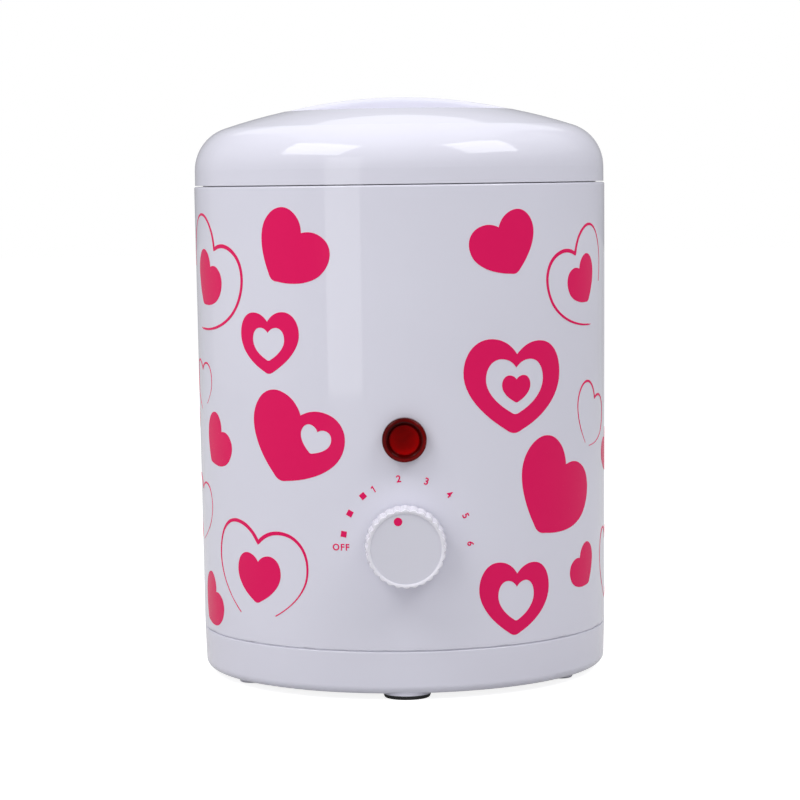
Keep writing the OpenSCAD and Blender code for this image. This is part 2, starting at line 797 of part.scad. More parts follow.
// Screws and nuts across the straps' lugs
module strap_screws() {
    lean = strap_head_r * sin(strap_half_gap);
    grip = 2 * (lug_screw_r * sin(strap_half_gap) + lug_t / 2 + lean + touch_gap);
    nut_t = 2.4;
    color("silver") for (z = strap_zs())
        rotate([0, 0, slot_az]) translate([-grip / 2, -lug_screw_r, z + strap_w / 2]) rotate([0, 90, 0]) {
            pan_screw(screw_r, grip + nut_t + 1, strap_head_r, 1.8);
            translate([0, 0, grip]) difference() {
                cylinder(h = nut_t, r = strap_head_r + 0.1, $fn = 6);
                translate([0, 0, -overcut])
                    cylinder(h = nut_t + 2 * overcut, r = screw_r - 0.2, $fn = small_fn);
            }
        }
}

// Glass-fibre sleeve round the well, open at the sensor's slot
module insulation_sleeve() {
    color("ivory") split_ring(sleeve_r, sleeve_t, sleeve_z, sleeve_h, slot_az, sleeve_half_gap);
}

// Glass-fibre pad between the well's bottom and the heat shield
module insulation_pad() {
    color("ivory") translate([0, 0, shield_top_z]) difference() {
        cylinder(h = pad_t, r = shield_r - shield_t - seat_gap);
        translate([0, 0, -overcut])
            cylinder(h = pad_t + 2 * overcut, r = spacer_r() + seat_gap, $fn = small_fn);
    }
}

function spacer_r() = 2 * stud_r;

module shield_spacer() {
    color("silver") translate([0, 0, shield_top_z]) difference() {
        cylinder(h = well_bottom_z - shield_top_z, r = spacer_r(), $fn = small_fn);
        translate([0, 0, -overcut])
            cylinder(h = pad_t + 4 * overcut, r = stud_r + touch_gap, $fn = small_fn);
    }
}

// Dished steel shield that keeps the well's heat off the thermostat and the wiring
module heat_shield() {
    rim_top_z = well_bottom_z - seat_gap;
    color("silver") difference() {
        rotate_extrude() rounded([
            [0, shield_bottom_z, 0],
            [shield_r, shield_bottom_z, 2],
            [shield_r, rim_top_z, 0],
            [shield_r - shield_t, rim_top_z, 0],
            [shield_r - shield_t, shield_top_z, 0],
            [0, shield_top_z, 0]
        ]);
        translate([0, 0, shield_bottom_z - overcut])
            cylinder(h = shield_t + 2 * overcut, r = stud_r + touch_gap, $fn = small_fn);
    }
}

// Ring terminal for the earth wire, on the stud under the shield
module earth_tag() {
    tag_r = stud_r + 3;
    blade_w = 6.3;
    color("gold") translate([0, 0, shield_bottom_z - tag_t]) difference() {
        union() {
            cylinder(h = tag_t, r = tag_r, $fn = small_fn);
            translate([-blade_w / 2, 0, 0]) cube([blade_w, tag_l, tag_t]);
        }
        translate([0, 0, -overcut]) cylinder(h = tag_t + 2 * overcut, r = stud_r + touch_gap, $fn = small_fn);
    }
}

// Washer and nut that clamp the shield on the well's stud
module stud_nut() {
    washer_z = shield_bottom_z - tag_t - washer_t;
    color("silver") translate([0, 0, washer_z - nut_h]) difference() {
        union() {
            cylinder(h = nut_h, r = nut_r, $fn = 6);
            translate([0, 0, nut_h]) cylinder(h = washer_t, r = nut_r + 0.6, $fn = small_fn);
        }
        translate([0, 0, -overcut])
            cylinder(h = nut_h + washer_t + 2 * overcut, r = stud_r + touch_gap, $fn = small_fn);
    }
}

// Thermostat: a moulded case, a round diaphragm cup behind it and a bush for the shaft
module thermostat_case() {
    cup_r = 12;
    cup_l = 5;
    color("dimgray") front(knob_z) difference() {
        union() {
            translate([0, 0, case_front - case_d]) linear_extrude(case_d)
                rounded_rect(case_w, case_h, 2.5);
            translate([0, 0, case_front - case_d - cup_l]) rotate_extrude()
                rounded([[0, 0, 0], [cup_r, 0, 2.5], [cup_r, cup_l + overcut, 0], [0, cup_l + overcut, 0]]);
            translate([0, 0, case_front - overcut]) cylinder(h = bush_l + overcut, r = bush_r);
        }
        translate([0, 0, shaft_start - 1])
            cylinder(h = shell_top_r, r = shaft_r + shaft_gap);
    }
}

// Steel plate that carries the thermostat on the housing's posts
module thermostat_bracket() {
    plate_w = 2 * bracket_screw_x + 9;
    plate_h = 20;
    color("silver") front(knob_z) translate([0, 0, case_front]) linear_extrude(bracket_t) difference() {
        rounded_rect(plate_w, plate_h, 3);
        circle(r = bush_r + 2 * touch_gap);
        for (side = [-1, 1])
            translate([side * bracket_screw_x, 0]) circle(r = screw_r + seat_gap, $fn = small_fn);
    }
}

module thermostat_screws() {
    color("silver") for (side = [-1, 1])
        front(knob_z) translate([side * bracket_screw_x, 0, case_front])
            pan_screw(screw_r, bracket_t + 5.5, 2 * screw_r, 2);
}

// Places children at the thermostat's blades, on the case's lower side
module blade_places() {
    for (side = [-1, 1])
        translate([side * case_w / 4, -(case_front - case_d / 2), knob_z - case_h / 2]) children();
}

module thermostat_terminals() {
    blade = [6.3, 0.8, 8];
    color("gold") blade_places() translate([-blade.x / 2, -blade.y / 2, -blade.z]) cube(blade);
}

// Liquid-filled bulb of the thermostat, upright against the well
module sensor_bulb() {
    color("peru") translate(polar(bulb_at_r, slot_az, bulb_z)) {
        cylinder(h = bulb_l - bulb_r, r = bulb_r, $fn = small_fn);
        translate([0, 0, bulb_l - bulb_r]) sphere(r = bulb_r, $fn = small_fn);
    }
}

// Capillary tube from the bulb down past the shield to the thermostat's case
module capillary_tube() {
    drop_z = knob_z + 12;
    color("peru") wire([
        polar(bulb_at_r, slot_az, bulb_z),
        polar(bulb_at_r + 2, slot_az - 3, drop_z - 4),
        [case_w / 2 + 8, -(case_front - case_d / 2), knob_z - 6],
        [case_w / 2, -(case_front - case_d / 2), knob_z - 6]
    ], capillary_r);
}

// Places children in the sensor's slot: X is tangential and Y points outward from the well's wall
module on_slot(offset, z) {
    rotate([0, 0, slot_az]) translate([offset, -well_out_r - touch_gap, z])
        rotate([0, 0, 180]) children();
}

// Section of a clip over a round body that lies near the wall: an arch with two feet
module clip_section(r, stand_off) {
    foot_w = r + 3.5;
    difference() {
        union() {
            translate([0, stand_off]) circle(r = r + clip_t, $fn = small_fn);
            translate([-r - clip_t, 0]) square([2 * (r + clip_t), stand_off]);
            translate([-foot_w, 0]) square([2 * foot_w, clip_t]);
        }
        translate([0, stand_off]) circle(r = r, $fn = small_fn);
        translate([-r, -overcut]) square([2 * r, stand_off + overcut]);
    }
}

// Sprung clip that presses the bulb to the well
module sensor_clip() {
    color("silver") on_slot(0, band_z + band_h / 2 - clip_h / 2) linear_extrude(clip_h)
        clip_section(bulb_r + touch_gap, bulb_at_r - well_out_r - touch_gap);
}

// Thermal fuse with its two leads, upright beside the bulb
module thermal_fuse() {
    lead_r = 0.5;
    lead_l = 7;
    color("silver") on_slot(fuse_offset, fuse_z) translate([0, fuse_r + touch_gap, 0]) {
        cylinder(h = fuse_l, r = fuse_r, $fn = small_fn);
        translate([0, 0, -lead_l]) cylinder(h = fuse_l + 2 * lead_l, r = lead_r, $fn = small_fn);
    }
}

module fuse_clip() {
    color("silver") on_slot(fuse_offset, fuse_z + fuse_l / 2 - clip_h / 4) linear_extrude(clip_h / 2)
        intersection() {
            clip_section(fuse_r + touch_gap, fuse_r + touch_gap);
            translate([-fuse_r - 2 * clip_t, 0]) square(4 * fuse_r + 2 * clip_t);
        }
}

// Red lens: a rounded rim round a sunk disc, with a stem into the barrel
module lamp_lens() {
    stem_r = barrel_r - 1.4;
    disc_h = lens_proud - lens_sink;
    color("darkred") front(0) difference() {
        translate([0, lamp_z, lamp_front]) rotate_extrude() rounded([
            [0, -3.5, 0],
            [stem_r, -3.5, 0],
            [stem_r, -1, 0],
            [lens_r, -1, 0],
            [lens_r, lens_proud, 1.2],
            [lens_disc_r + 0.95, lens_proud, 0.6],
            [lens_disc_r, disc_h, 0.3],
            [0, disc_h, 0]
        ]);
        rotate([-90, 0, 0]) difference() {
            housing_solid(-touch_gap);
            translate([0, 0, lamp_z]) rotate([90, 0, 0])
                cylinder(h = 2 * shell_top_r, r = stem_r + touch_gap);
        }
    }
}

// Moulded barrel of the lamp, closed behind
module lamp_barrel() {
    barrel_wall = 1.3;
    color("whitesmoke") front(lamp_z) translate([0, 0, lamp_front - barrel_l]) difference() {
        cylinder(h = barrel_l - seat_gap, r = barrel_r);
        translate([0, 0, barrel_wall]) cylinder(h = barrel_l, r = barrel_r - barrel_wall);
    }
}

// Neon bulb inside the barrel
module lamp_bulb() {
    neon_r = 2.2;
    color("orange") front(lamp_z) translate([0, 0, lamp_front - barrel_l + 1.3]) {
        cylinder(h = 4.5, r = neon_r, $fn = small_fn);
        translate([0, 0, 4.5]) sphere(r = neon_r, $fn = small_fn);
    }
}

// Push-on ring that holds the barrel behind the housing's wall
module lamp_clip() {
    clip_r = barrel_r + 3.2;
    ring_t = 1;
    color("silver") front(lamp_z) translate([0, 0, wall_seat(lamp_z, clip_r) - ring_t]) difference() {
        cylinder(h = ring_t, r = clip_r);
        translate([0, 0, -overcut]) cylinder(h = ring_t + 2 * overcut, r = barrel_r + touch_gap);
    }
}

// Three-way terminal block on the base's pads
module terminal_block() {
    width = block_ways * block_pitch - 1;
    tower_h = 5;
    color("whitesmoke") translate([block_at.x, block_at.y, block_z]) difference() {
        union() {
            for (way = [-1 : 1]) translate([way * block_pitch, 0, block_way_r]) {
                rotate([90, 0, 0]) cylinder(h = block_l, r = block_way_r, center = true, $fn = small_fn);
                cylinder(h = block_way_r + tower_h, r = 3, $fn = small_fn);
            }
            translate([-width / 2, -block_l / 2, 0]) cube([width, block_l, block_way_r]);
        }
        for (way = [-1 : 1]) translate([way * block_pitch, 0, block_way_r]) {
            rotate([90, 0, 0]) cylinder(h = block_l + 2, r = wire_r + 0.9, center = true, $fn = small_fn);
            cylinder(h = block_way_r + tower_h + 1, r = 1.9, $fn = small_fn);
        }
        for (side = [-1, 1]) translate([side * block_pitch / 2, 0, -overcut])
            cylinder(h = 4 * block_way_r, r = screw_r + seat_gap, $fn = small_fn);
        for (side = [-1, 1]) translate([side * block_pitch / 2, 0, block_way_r])
            cylinder(h = 4 * block_way_r, r = block_head_r + 4 * touch_gap, $fn = small_fn);
    }
}

// Clamping screws inside the block's towers
module terminal_screws() {
    color("gold") for (way = [-1 : 1])
        translate([block_at.x + way * block_pitch, block_at.y, block_z + block_way_r + wire_r + 0.1])
            cylinder(h = 5.5, r = 1.85, $fn = small_fn);
}

module block_screws() {
    seat_z = block_z + block_way_r;
    color("silver") for (side = [-1, 1])
        translate([block_at.x + side * block_pitch / 2, block_at.y, seat_z]) rotate([180, 0, 0])
            pan_screw(screw_r, block_way_r + block_pad_h, block_head_r, 1.6);
}

// Grommet that lines the cord's way through the rear wall
module cord_grommet() {
    inner_seat = wall_seat(cord_z, grommet_r);
    color("white") difference() {
        rear(cord_z) rotate_extrude() difference() {
            union() {
                rounded([
                    [0, cord_front - overcut, 0],
                    [grommet_r, cord_front - overcut, 0],
                    [grommet_r, cord_front + grommet_flange_t, 0.9],
                    [0, cord_front + grommet_flange_t, 0]
                ]);
                translate([0, inner_seat - grommet_flange_t]) square([grommet_r, grommet_flange_t]);
                translate([0, inner_seat - overcut]) square([grommet_neck_r, cord_front - inner_seat + overcut]);
            }
            translate([-overcut, inner_seat - 2 * grommet_flange_t])
                square([overcut + cord_r, cord_front]);
        }
        difference() {
            housing_solid(-touch_gap);
            rear(cord_z) cylinder(h = inner_seat, r = 2 * grommet_r);
            rear(cord_z) cylinder(h = 2 * shell_top_r, r = grommet_neck_r);
        }
    }
}

// Where the wires end
function block_end(way, side) =
    [block_at.x + way * block_pitch, block_at.y + side * (block_l / 2 - 4), block_z + block_way_r];
function blade_end(side) =
    [side * case_w / 4, -(case_front - case_d / 2), knob_z - case_h / 2 - 8 - seat_gap];
function heater_end(side) =
    polar(terminal_r + wire_r + seat_gap, slot_az + side * terminal_az, band_z + band_h / 2);
function below_heater_end(side) = [heater_end(side).x, heater_end(side).y, well_floor_z - 13];

// Live wires: block to thermostat, and thermostat to the heater's terminal
module live_wires() {
    low_z = base_floor_z + 14;
    color("saddlebrown") {
        wire([
            block_end(1, -1),
            block_end(1, -1) + [0, -16, 0],
            [-10, -30, low_z],
            blade_end(-1) + [0, 0, -10],
            blade_end(-1)
        ], wire_r);
        wire([
            blade_end(1),
            blade_end(1) + [0, 0, -8],
            polar(well_out_r + 2.5, 43.5, low_z + 12),
            below_heater_end(-1),
            heater_end(-1)
        ], wire_r);
    }
}

// Neutral wire from the block up behind the sleeve to the heater's other terminal
module neutral_wire() {
    color("steelblue") wire([
        block_end(0, 1),
        block_end(0, 1) + [0, 12, 0],
        polar(terminal_r - 0.7, 130, base_floor_z + 20),
        below_heater_end(1),
        heater_end(1)
    ], wire_r);
}

// The lamp's two leads, down the side of the thermostat
module lamp_wires() {
    lead_gap = 3;
    back = lamp_front - barrel_l - seat_gap;
    color("saddlebrown") for (side = [-1, 1])
        wire([
            [side * lead_gap, -back, lamp_z],
            [side * lead_gap, -back + 1.5, lamp_z],
            [side * (case_w / 2 + 4), -back + 1.5, knob_z + case_h / 2 + 6],
            [side * (case_w / 2 + 8), -back + 8, knob_z - case_h / 2 - 6]
        ], wire_r * 0.8);
}

// Earth wire from the block up to the tag on the well's stud
module earth_wire() {
    color("green") wire([
        block_end(-1, 1),
        block_end(-1, 1) + [0, 10, 0],
        [-12, 38, knob_z - 20],
        [0, tag_l + 8, shield_bottom_z - 8],
        [0, tag_l - 1, shield_bottom_z - tag_t - wire_r - touch_gap]
    ], wire_r);
}

// Control shaft with a flat for the knob
module control_shaft() {
    color("silver") front(knob_z) difference() {
        translate([0, 0, shaft_start]) cylinder(h = shaft_end - shaft_start, r = shaft_r);
        translate([-shaft_r, shaft_r - flat_depth, shaft_end - flat_l])
            cube([2 * shaft_r, 2 * flat_depth, flat_l + overcut]);
    }
}

// Fluted knob: tapered, hollow, with a smooth rim, a sunk face and a hub that fits the shaft's flat
module control_knob() {
    in_back_r = knob_r - knob_wall;
    in_top_r = knob_front_r - knob_wall;
    face_r = knob_front_r - knob_rim_w;
    top = knob_l - knob_sink;
    flute_tilt = atan((knob_taper + flute_front_depth - flute_depth) / knob_l);
    hub_gap = 0.03;
    color("white") front(knob_z) translate([0, 0, knob_back]) difference() {
        union() {
            rotate_extrude() rounded([
                [in_back_r, 0, 0],
                [knob_r, 0, 0.4],
                [knob_front_r, knob_l, 0.5],
                [face_r, knob_l, 0.15],
                [face_r, top, 0],
                [0, top, 0],
                [0, knob_l - knob_top_t, 0],
                [in_top_r, knob_l - knob_top_t, 1]
            ]);
            translate([0, 0, 0.8]) cylinder(h = knob_l - knob_top_t, r = hub_r, $fn = small_fn);
        }
        for (i = [0 : flute_count - 1])
            rotate([0, 0, (i + 0.5) * 360 / flute_count])
                translate([0, knob_r + flute_r - flute_depth, 0]) rotate([flute_tilt, 0, 0])
                    translate([0, 0, -overcut])
                        cylinder(h = knob_l - knob_rim_l + overcut, r = flute_r, $fn = flute_sides);
        difference() {
            translate([0, 0, -overcut])
                cylinder(h = shaft_end - knob_back + overcut + hub_gap, r = shaft_r + hub_gap);
            translate([-hub_r, shaft_r - flat_depth + hub_gap, shaft_end - flat_l - knob_back])
                cube([2 * hub_r, hub_r, knob_l]);
        }
        rotate([0, 0, -pointer_angle]) translate([0, pointer_at_r, top - 0.3])
            cylinder(h = overcut, r = pointer_r, $fn = small_fn);
    }
}

// Spring ring that grips the hub on the shaft
module knob_clip() {
    clip_at = 2.5;
    color("silver") front(knob_z) translate([0, 0, knob_back + clip_at]) linear_extrude(3) difference() {
        circle(r = hub_r + touch_gap + clip_t, $fn = small_fn);
        circle(r = hub_r + touch_gap, $fn = small_fn);
        translate([-0.8, 0]) square([1.6, 2 * hub_r]);
    }
}

// Drawn pot with a rolled rim
module wax_pot() {
    color("silver") difference() {
        rotate_extrude() {
            rounded([
                [0, pot_z, 0],
                [pot_r, pot_z, pot_corner],
                [pot_r, rim_z - bead_r, 0],
                [pot_in_r, rim_z - bead_r, 0],
                [pot_in_r, pot_z + pot_wall, pot_corner - pot_wall],
                [0, pot_z + pot_wall, 0]
            ]);
            translate([bead_at_r, rim_z - bead_r]) circle(r = bead_r, $fn = small_fn);
        }
        rivet_places() rotate([0, 90, 0])
            cylinder(h = 3 * pot_wall, r = rivet_r + touch_gap, center = true, $fn = small_fn);
    }
}

// Places children at the four rivets, on the pot's wall, with +X outward
module rivet_places() {
    rivet_zs = [rim_z - ear_drop + 4, rim_z - ear_drop + 11];
    for (turn_z = [0, 180], z = rivet_zs)
        rotate([0, 0, turn_z]) translate([pot_r - pot_wall / 2, 0, z]) children();
}

// Ears that follow the pot's inner wall and carry the bail's ends
module pot_ears() {
    low_z = rim_z - ear_drop;
    color("silver") for (turn_z = [0, 180]) rotate([0, 0, turn_z]) difference() {
        intersection() {
            rotate([0, 0, -2 * ear_half_angle]) rotate_extrude(angle = 4 * ear_half_angle)
                translate([ear_r - ear_t, low_z]) square([ear_t, pivot_z - low_z + 2 * ear_top_r]);
            rotate([90, 0, 90]) linear_extrude(pot_r) {
                rounded([
                    [-ear_r * sin(ear_half_angle), low_z, 2],
                    [ear_r * sin(ear_half_angle), low_z, 2],
                    [ear_r * sin(ear_half_angle), rim_z - 4, 2],
                    [ear_top_r, rim_z - 2, 0],
                    [ear_top_r, pivot_z, 0],
                    [-ear_top_r, pivot_z, 0],
                    [-ear_top_r, rim_z - 2, 0],
                    [-ear_r * sin(ear_half_angle), rim_z - 4, 2]
                ]);
                translate([0, pivot_z]) circle(r = ear_top_r, $fn = small_fn);
            }
        }
        translate([ear_r - 2 * ear_t, 0, pivot_z]) rotate([0, 90, 0])
            cylinder(h = 4 * ear_t, r = ear_hole_r, $fn = small_fn);
        for (z = [low_z + 4, low_z + 11])
            translate([ear_r - 2 * ear_t, 0, z]) rotate([0, 90, 0])
                cylinder(h = 4 * ear_t, r = rivet_r + touch_gap, $fn = small_fn);
    }
}

// Domed rivets through the ears and the pot's wall
module ear_rivets() {
    head_t = 0.9;
    tail_t = 0.6;
    head_r = rivet_r + 0.9;
    in_face = -(pot_wall / 2 + touch_gap + ear_t + touch_gap);
    out_face = pot_wall / 2 + touch_gap;
    color("silver") rivet_places() rotate([0, 90, 0]) rotate_extrude($fn = small_fn)
        rounded([
            [0, in_face - head_t, 0],
            [head_r, in_face - head_t, head_t * 0.8],
            [head_r, in_face, 0],
            [rivet_r, in_face, 0],
            [rivet_r, out_face, 0],
            [head_r, out_face, 0],
            [head_r, out_face + tail_t, tail_t * 0.6],
            [0, out_face + tail_t, 0]
        ]);
}

// Wire bail, folded forward over the rim: two hooked ends, short arms and a half ring
module bail_handle() {
    reach = bead_at_r;
    arm_l = reach - arm_x;
    color("silver") translate([0, 0, pivot_z]) {
        translate([0, -arm_l, 0]) rotate([0, 0, 180]) rotate_extrude(angle = 180)
            translate([arm_x, 0]) circle(r = bail_wire_r, $fn = small_fn);
        for (side = [-1, 1]) {
            translate([side * arm_x, 0, 0]) {
                rotate([90, 0, 0]) cylinder(h = arm_l, r = bail_wire_r, $fn = small_fn);
                sphere(r = bail_wire_r, $fn = small_fn);
                rotate([0, side * 90, 0]) {
                    cylinder(h = pin_end_x - arm_x, r = bail_wire_r, $fn = small_fn);
                    translate([0, 0, pin_end_x - arm_x - pin_head_t])
                        cylinder(h = pin_head_t, r = pin_head_r, $fn = small_fn);
                }
            }
        }
    }
}

// Region under the dome's curve, made smaller by an inset
module dome_profile(inset) {
    tip = [shoulder_x, shoulder_z] + (shoulder_r - inset) * [cos(shoulder_angle), sin(shoulder_angle)];
    intersection() {
        translate([0, lid_bottom_z]) square([lid_r, lid_h + overcut]);
        union() {
            translate([0, crown_z]) sector(crown_r - inset, shoulder_angle, 90, $fn = 360);
            translate([shoulder_x, shoulder_z]) sector(shoulder_r - inset, 0, shoulder_angle);
            polygon([
                [0, lid_bottom_z],
                [lid_r - inset, lid_bottom_z],
                [lid_r - inset, shoulder_z],
                [shoulder_x, shoulder_z],
                tip
            ]);
        }
    }
}

// Region of the sunk dish, made larger by the wall on its underside
module dish_profile(grow) {
    rounded([
        [0, dish_floor_z - grow, 0],
        [dish_r + grow, dish_floor_z - grow, dish_fillet + grow],
        [dish_r + grow, lid_seam_z + 2 * lid_h, 0],
        [0, lid_seam_z + 2 * lid_h, 0]
    ]);
}

// The corner that the dish's rounded lip takes off
module lip_cut() {
    centre = [dish_r + dish_lip, crown_z + sqrt(pow(crown_r - dish_lip, 2) - pow(dish_r + dish_lip, 2))];
    outward = unit(centre - [0, crown_z]);
    difference() {
        polygon([
            [dish_r, centre.y],
            centre,
            centre + outward * dish_lip,
            centre + outward * 2 * dish_lip,
            [dish_r, centre.y + 2 * dish_lip]
        ]);
        translate(centre) circle(r = dish_lip);
    }
}

// Grip bar that follows the crown, as a curved beam with drafted sides, made smaller by an inset
module grip_beam(inset, depth) {
    half_angle = 14;
    top_r = grip_crest_r - inset;
    half_top = grip_w / 2 - inset;
    half_low = half_top + (depth - inset) * tan(grip_draft);
    translate([0, 0, grip_axis_z]) rotate([90, 0, 0]) rotate([0, 0, 90 - half_angle])
        rotate_extrude(angle = 2 * half_angle, $fn = 360)
            rounded([
                [grip_crest_r - depth, -half_low, 0],
                [top_r, -half_top, max(grip_round - inset, 0.4)],
                [top_r, half_top, max(grip_round - inset, 0.4)],
                [grip_crest_r - depth, half_low, 0]
            ]);
}

// The lid: one moulding with a rounded shoulder, a sunk dish, a hollow grip bar and a locating ring
module lid() {
    bar_depth = grip_h - dish_floor_h + wall / 2;
    color("white") difference() {
        union() {
            rotate_extrude() {
                difference() {
                    dome_profile(0);
                    dish_profile(0);
                    lip_cut();
                    difference() {
                        dome_profile(wall);
                        dish_profile(wall);
                    }
                }
                polygon([
                    [skirt_r - skirt_wall, lid_seam_z - skirt_h],
                    [skirt_r - 0.3, lid_seam_z - skirt_h],
                    [skirt_r, lid_seam_z - skirt_h + 1],
                    [skirt_r, lid_bottom_z + 0.6],
                    [lid_r - wall / 2, lid_bottom_z + 0.6],
                    [lid_r - wall / 2, lid_bottom_z + 4],
                    [skirt_r - skirt_wall, lid_bottom_z + 3]
                ]);
            }
            intersection() {
                grip_beam(0, bar_depth);
                translate([0, 0, dish_floor_z - wall / 2]) cylinder(h = lid_h, r = dish_r + dish_lip - 0.5);
            }
        }
        intersection() {
            grip_beam(wall, bar_depth + 2 * wall);
            translate([0, 0, dish_floor_z - 2 * wall]) cylinder(h = lid_h, r = dish_r - overcut);
        }
    }
}

outer_shell();
base_cover();
rubber_feet();
base_screws();
top_collar();
collar_screws();
heating_well();
well_clips();
well_screws();
heater_band();
heater_straps();
strap_screws();
insulation_sleeve();
insulation_pad();
shield_spacer();
heat_shield();
stud_nut();
earth_tag();
thermostat_case();
thermostat_bracket();
thermostat_screws();
thermostat_terminals();
sensor_bulb();
capillary_tube();
sensor_clip();
thermal_fuse();
fuse_clip();
lamp_lens();
lamp_barrel();
lamp_bulb();
lamp_clip();
terminal_block();
terminal_screws();
block_screws();
cord_grommet();
live_wires();
neutral_wire();
lamp_wires();
earth_wire();
control_shaft();
control_knob();
knob_clip();
wax_pot();
pot_ears();
ear_rivets();
bail_handle();
lid();
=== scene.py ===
"""Looks of the wax warmer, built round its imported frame.

Metres, in the row frame: +Z up, the front faces -Y.
"""

import json
import math

import bmesh
import bpy
from mathutils import Matrix, Vector
from mathutils.geometry import tessellate_polygon


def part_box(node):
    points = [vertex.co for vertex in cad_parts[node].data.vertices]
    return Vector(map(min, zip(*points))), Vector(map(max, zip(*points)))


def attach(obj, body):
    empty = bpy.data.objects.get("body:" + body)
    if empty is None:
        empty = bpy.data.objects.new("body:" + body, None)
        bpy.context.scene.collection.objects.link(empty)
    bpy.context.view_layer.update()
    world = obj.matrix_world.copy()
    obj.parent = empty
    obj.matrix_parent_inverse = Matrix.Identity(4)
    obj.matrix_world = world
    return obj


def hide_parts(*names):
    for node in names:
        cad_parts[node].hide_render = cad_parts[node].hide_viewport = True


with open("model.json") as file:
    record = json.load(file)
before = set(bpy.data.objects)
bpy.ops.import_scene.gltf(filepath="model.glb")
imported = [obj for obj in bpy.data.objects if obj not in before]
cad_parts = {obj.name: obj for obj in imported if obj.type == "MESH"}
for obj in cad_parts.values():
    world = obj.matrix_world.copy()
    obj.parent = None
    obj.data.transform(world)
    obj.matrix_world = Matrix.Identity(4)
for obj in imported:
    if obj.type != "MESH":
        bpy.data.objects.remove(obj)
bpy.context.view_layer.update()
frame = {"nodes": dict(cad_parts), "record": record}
nodes = frame["nodes"]

MM = 0.001

# Sizes read from the frame


def outer_radius_at(node, below=math.inf, above=-math.inf):
    """(radius, height) of a node's widest point between two heights."""
    found = (0.0, 0.0)
    for v in nodes[node].data.vertices:
        if above < v.co.z < below:
            found = max(found, (math.hypot(v.co.x, v.co.y), v.co.z))
    return found


# How near to its two edges the housing's widest rings are looked for
EDGE_BAND = 2 * MM

shell_low, shell_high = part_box("outer_shell")
base_ring_r, base_ring_z = outer_radius_at("outer_shell", below=shell_low.z + EDGE_BAND)
top_ring_r, top_ring_z = outer_radius_at("outer_shell", above=shell_high.z - EDGE_BAND)
knob_low, knob_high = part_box("control_knob")
knob_axis_z = (knob_low.z + knob_high.z) / 2
knob_front_y = knob_low.y
knob_back_y = knob_high.y
knob_outer_r = (knob_high.x - knob_low.x) / 2
lens_low, lens_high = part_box("lamp_lens")
lamp_axis_z = (lens_low.z + lens_high.z) / 2
lens_outer_r = (lens_high.z - lens_low.z) / 2


def shell_r(z):
    """Outer radius of the tapered housing at a height."""
    share = (z - base_ring_z) / (top_ring_z - base_ring_z)
    return base_ring_r + (top_ring_r - base_ring_r) * share


# Shader nodes


def new_material(name, colour, roughness, metallic=0.0):
    """A Principled material with its plain values set, returned with its nodes and its shader."""
    material = bpy.data.materials.new(name)
    material.use_nodes = True
    tree = material.node_tree
    shader = tree.nodes["Principled BSDF"]
    shader.inputs["Base Color"].default_value = (*colour, 1)
    shader.inputs["Roughness"].default_value = roughness
    shader.inputs["Metallic"].default_value = metallic
    return material, tree, shader


def object_space(tree, scale=(1, 1, 1)):
    """A mapping of object coordinates, so that grain keeps its real size."""
    coordinates = tree.nodes.new("ShaderNodeTexCoord")
    mapping = tree.nodes.new("ShaderNodeMapping")
    mapping.inputs["Scale"].default_value = scale
    tree.links.new(coordinates.outputs["Object"], mapping.inputs["Vector"])
    return mapping.outputs["Vector"]


def noise(tree, vector, scale, detail=2.0):
    """A noise texture's value."""
    texture = tree.nodes.new("ShaderNodeTexNoise")
    texture.inputs["Scale"].default_value = scale
    texture.inputs["Detail"].default_value = detail
    tree.links.new(vector, texture.inputs["Vector"])
    return texture.outputs["Fac"]


def map_range(tree, value, source, target):
    """A value carried from one range to another."""
    node = tree.nodes.new("ShaderNodeMapRange")
    node.inputs["From Min"].default_value = source[0]
    node.inputs["From Max"].default_value = source[1]
    node.inputs["To Min"].default_value = target[0]
    node.inputs["To Max"].default_value = target[1]
    tree.links.new(value, node.inputs["Value"])
    return node.outputs["Result"]


def colour_ramp(tree, value, stops):
    """A colour that follows a value through stops, each a position and a colour."""
    ramp = tree.nodes.new("ShaderNodeValToRGB")
    elements = ramp.color_ramp.elements
    while len(elements) < len(stops):
        elements.new(0.5)
    for element, (position, colour) in zip(elements, stops):
        element.position = position
        element.color = (*colour, 1)
    tree.links.new(value, ramp.inputs["Fac"])
    return ramp.outputs["Color"]


def arithmetic(tree, operation, *values):
    """The result of a math node, from numbers and other nodes' outputs."""
    node = tree.nodes.new("ShaderNodeMath")
    node.operation = operation
    for socket, value in zip(node.inputs, values):
        if isinstance(value, bpy.types.NodeSocket):
            tree.links.new(value, socket)
        else:
            socket.default_value = value
    return node.outputs["Value"]


def vector_node(tree, operation, vector, fixed=(0, 0, 0)):
    """A vector math node on another node's vector and a fixed one."""
    node = tree.nodes.new("ShaderNodeVectorMath")
    node.operation = operation
    tree.links.new(vector, node.inputs[0])
    node.inputs[1].default_value = fixed
    return node


def shade(colour, factor):
    """A colour made lighter or darker."""
    return tuple(min(1.0, c * factor) for c in colour)


def vary_roughness(tree, shader, value, roughness, least, most):
    """Roughness that follows a texture between two multiples of its plain value."""
    spread = map_range(tree, value, (0, 1), (roughness * least, roughness * most))
    tree.links.new(spread, shader.inputs["Roughness"])


def vary_colour(tree, shader, value, colour, first, second, low=0.35, high=0.65):
    """Base colour that follows a texture from one shade of it to another."""
    stops = ((low, shade(colour, first)), (high, shade(colour, second)))
    tree.links.new(colour_ramp(tree, value, stops), shader.inputs["Base Color"])


def bump(tree, shader, value, strength, distance):
    """Fine relief from a texture."""
    relief = tree.nodes.new("ShaderNodeBump")
    relief.inputs["Strength"].default_value = strength
    relief.inputs["Distance"].default_value = distance
    tree.links.new(value, relief.inputs["Height"])
    tree.links.new(relief.outputs["Normal"], shader.inputs["Normal"])


# Materials


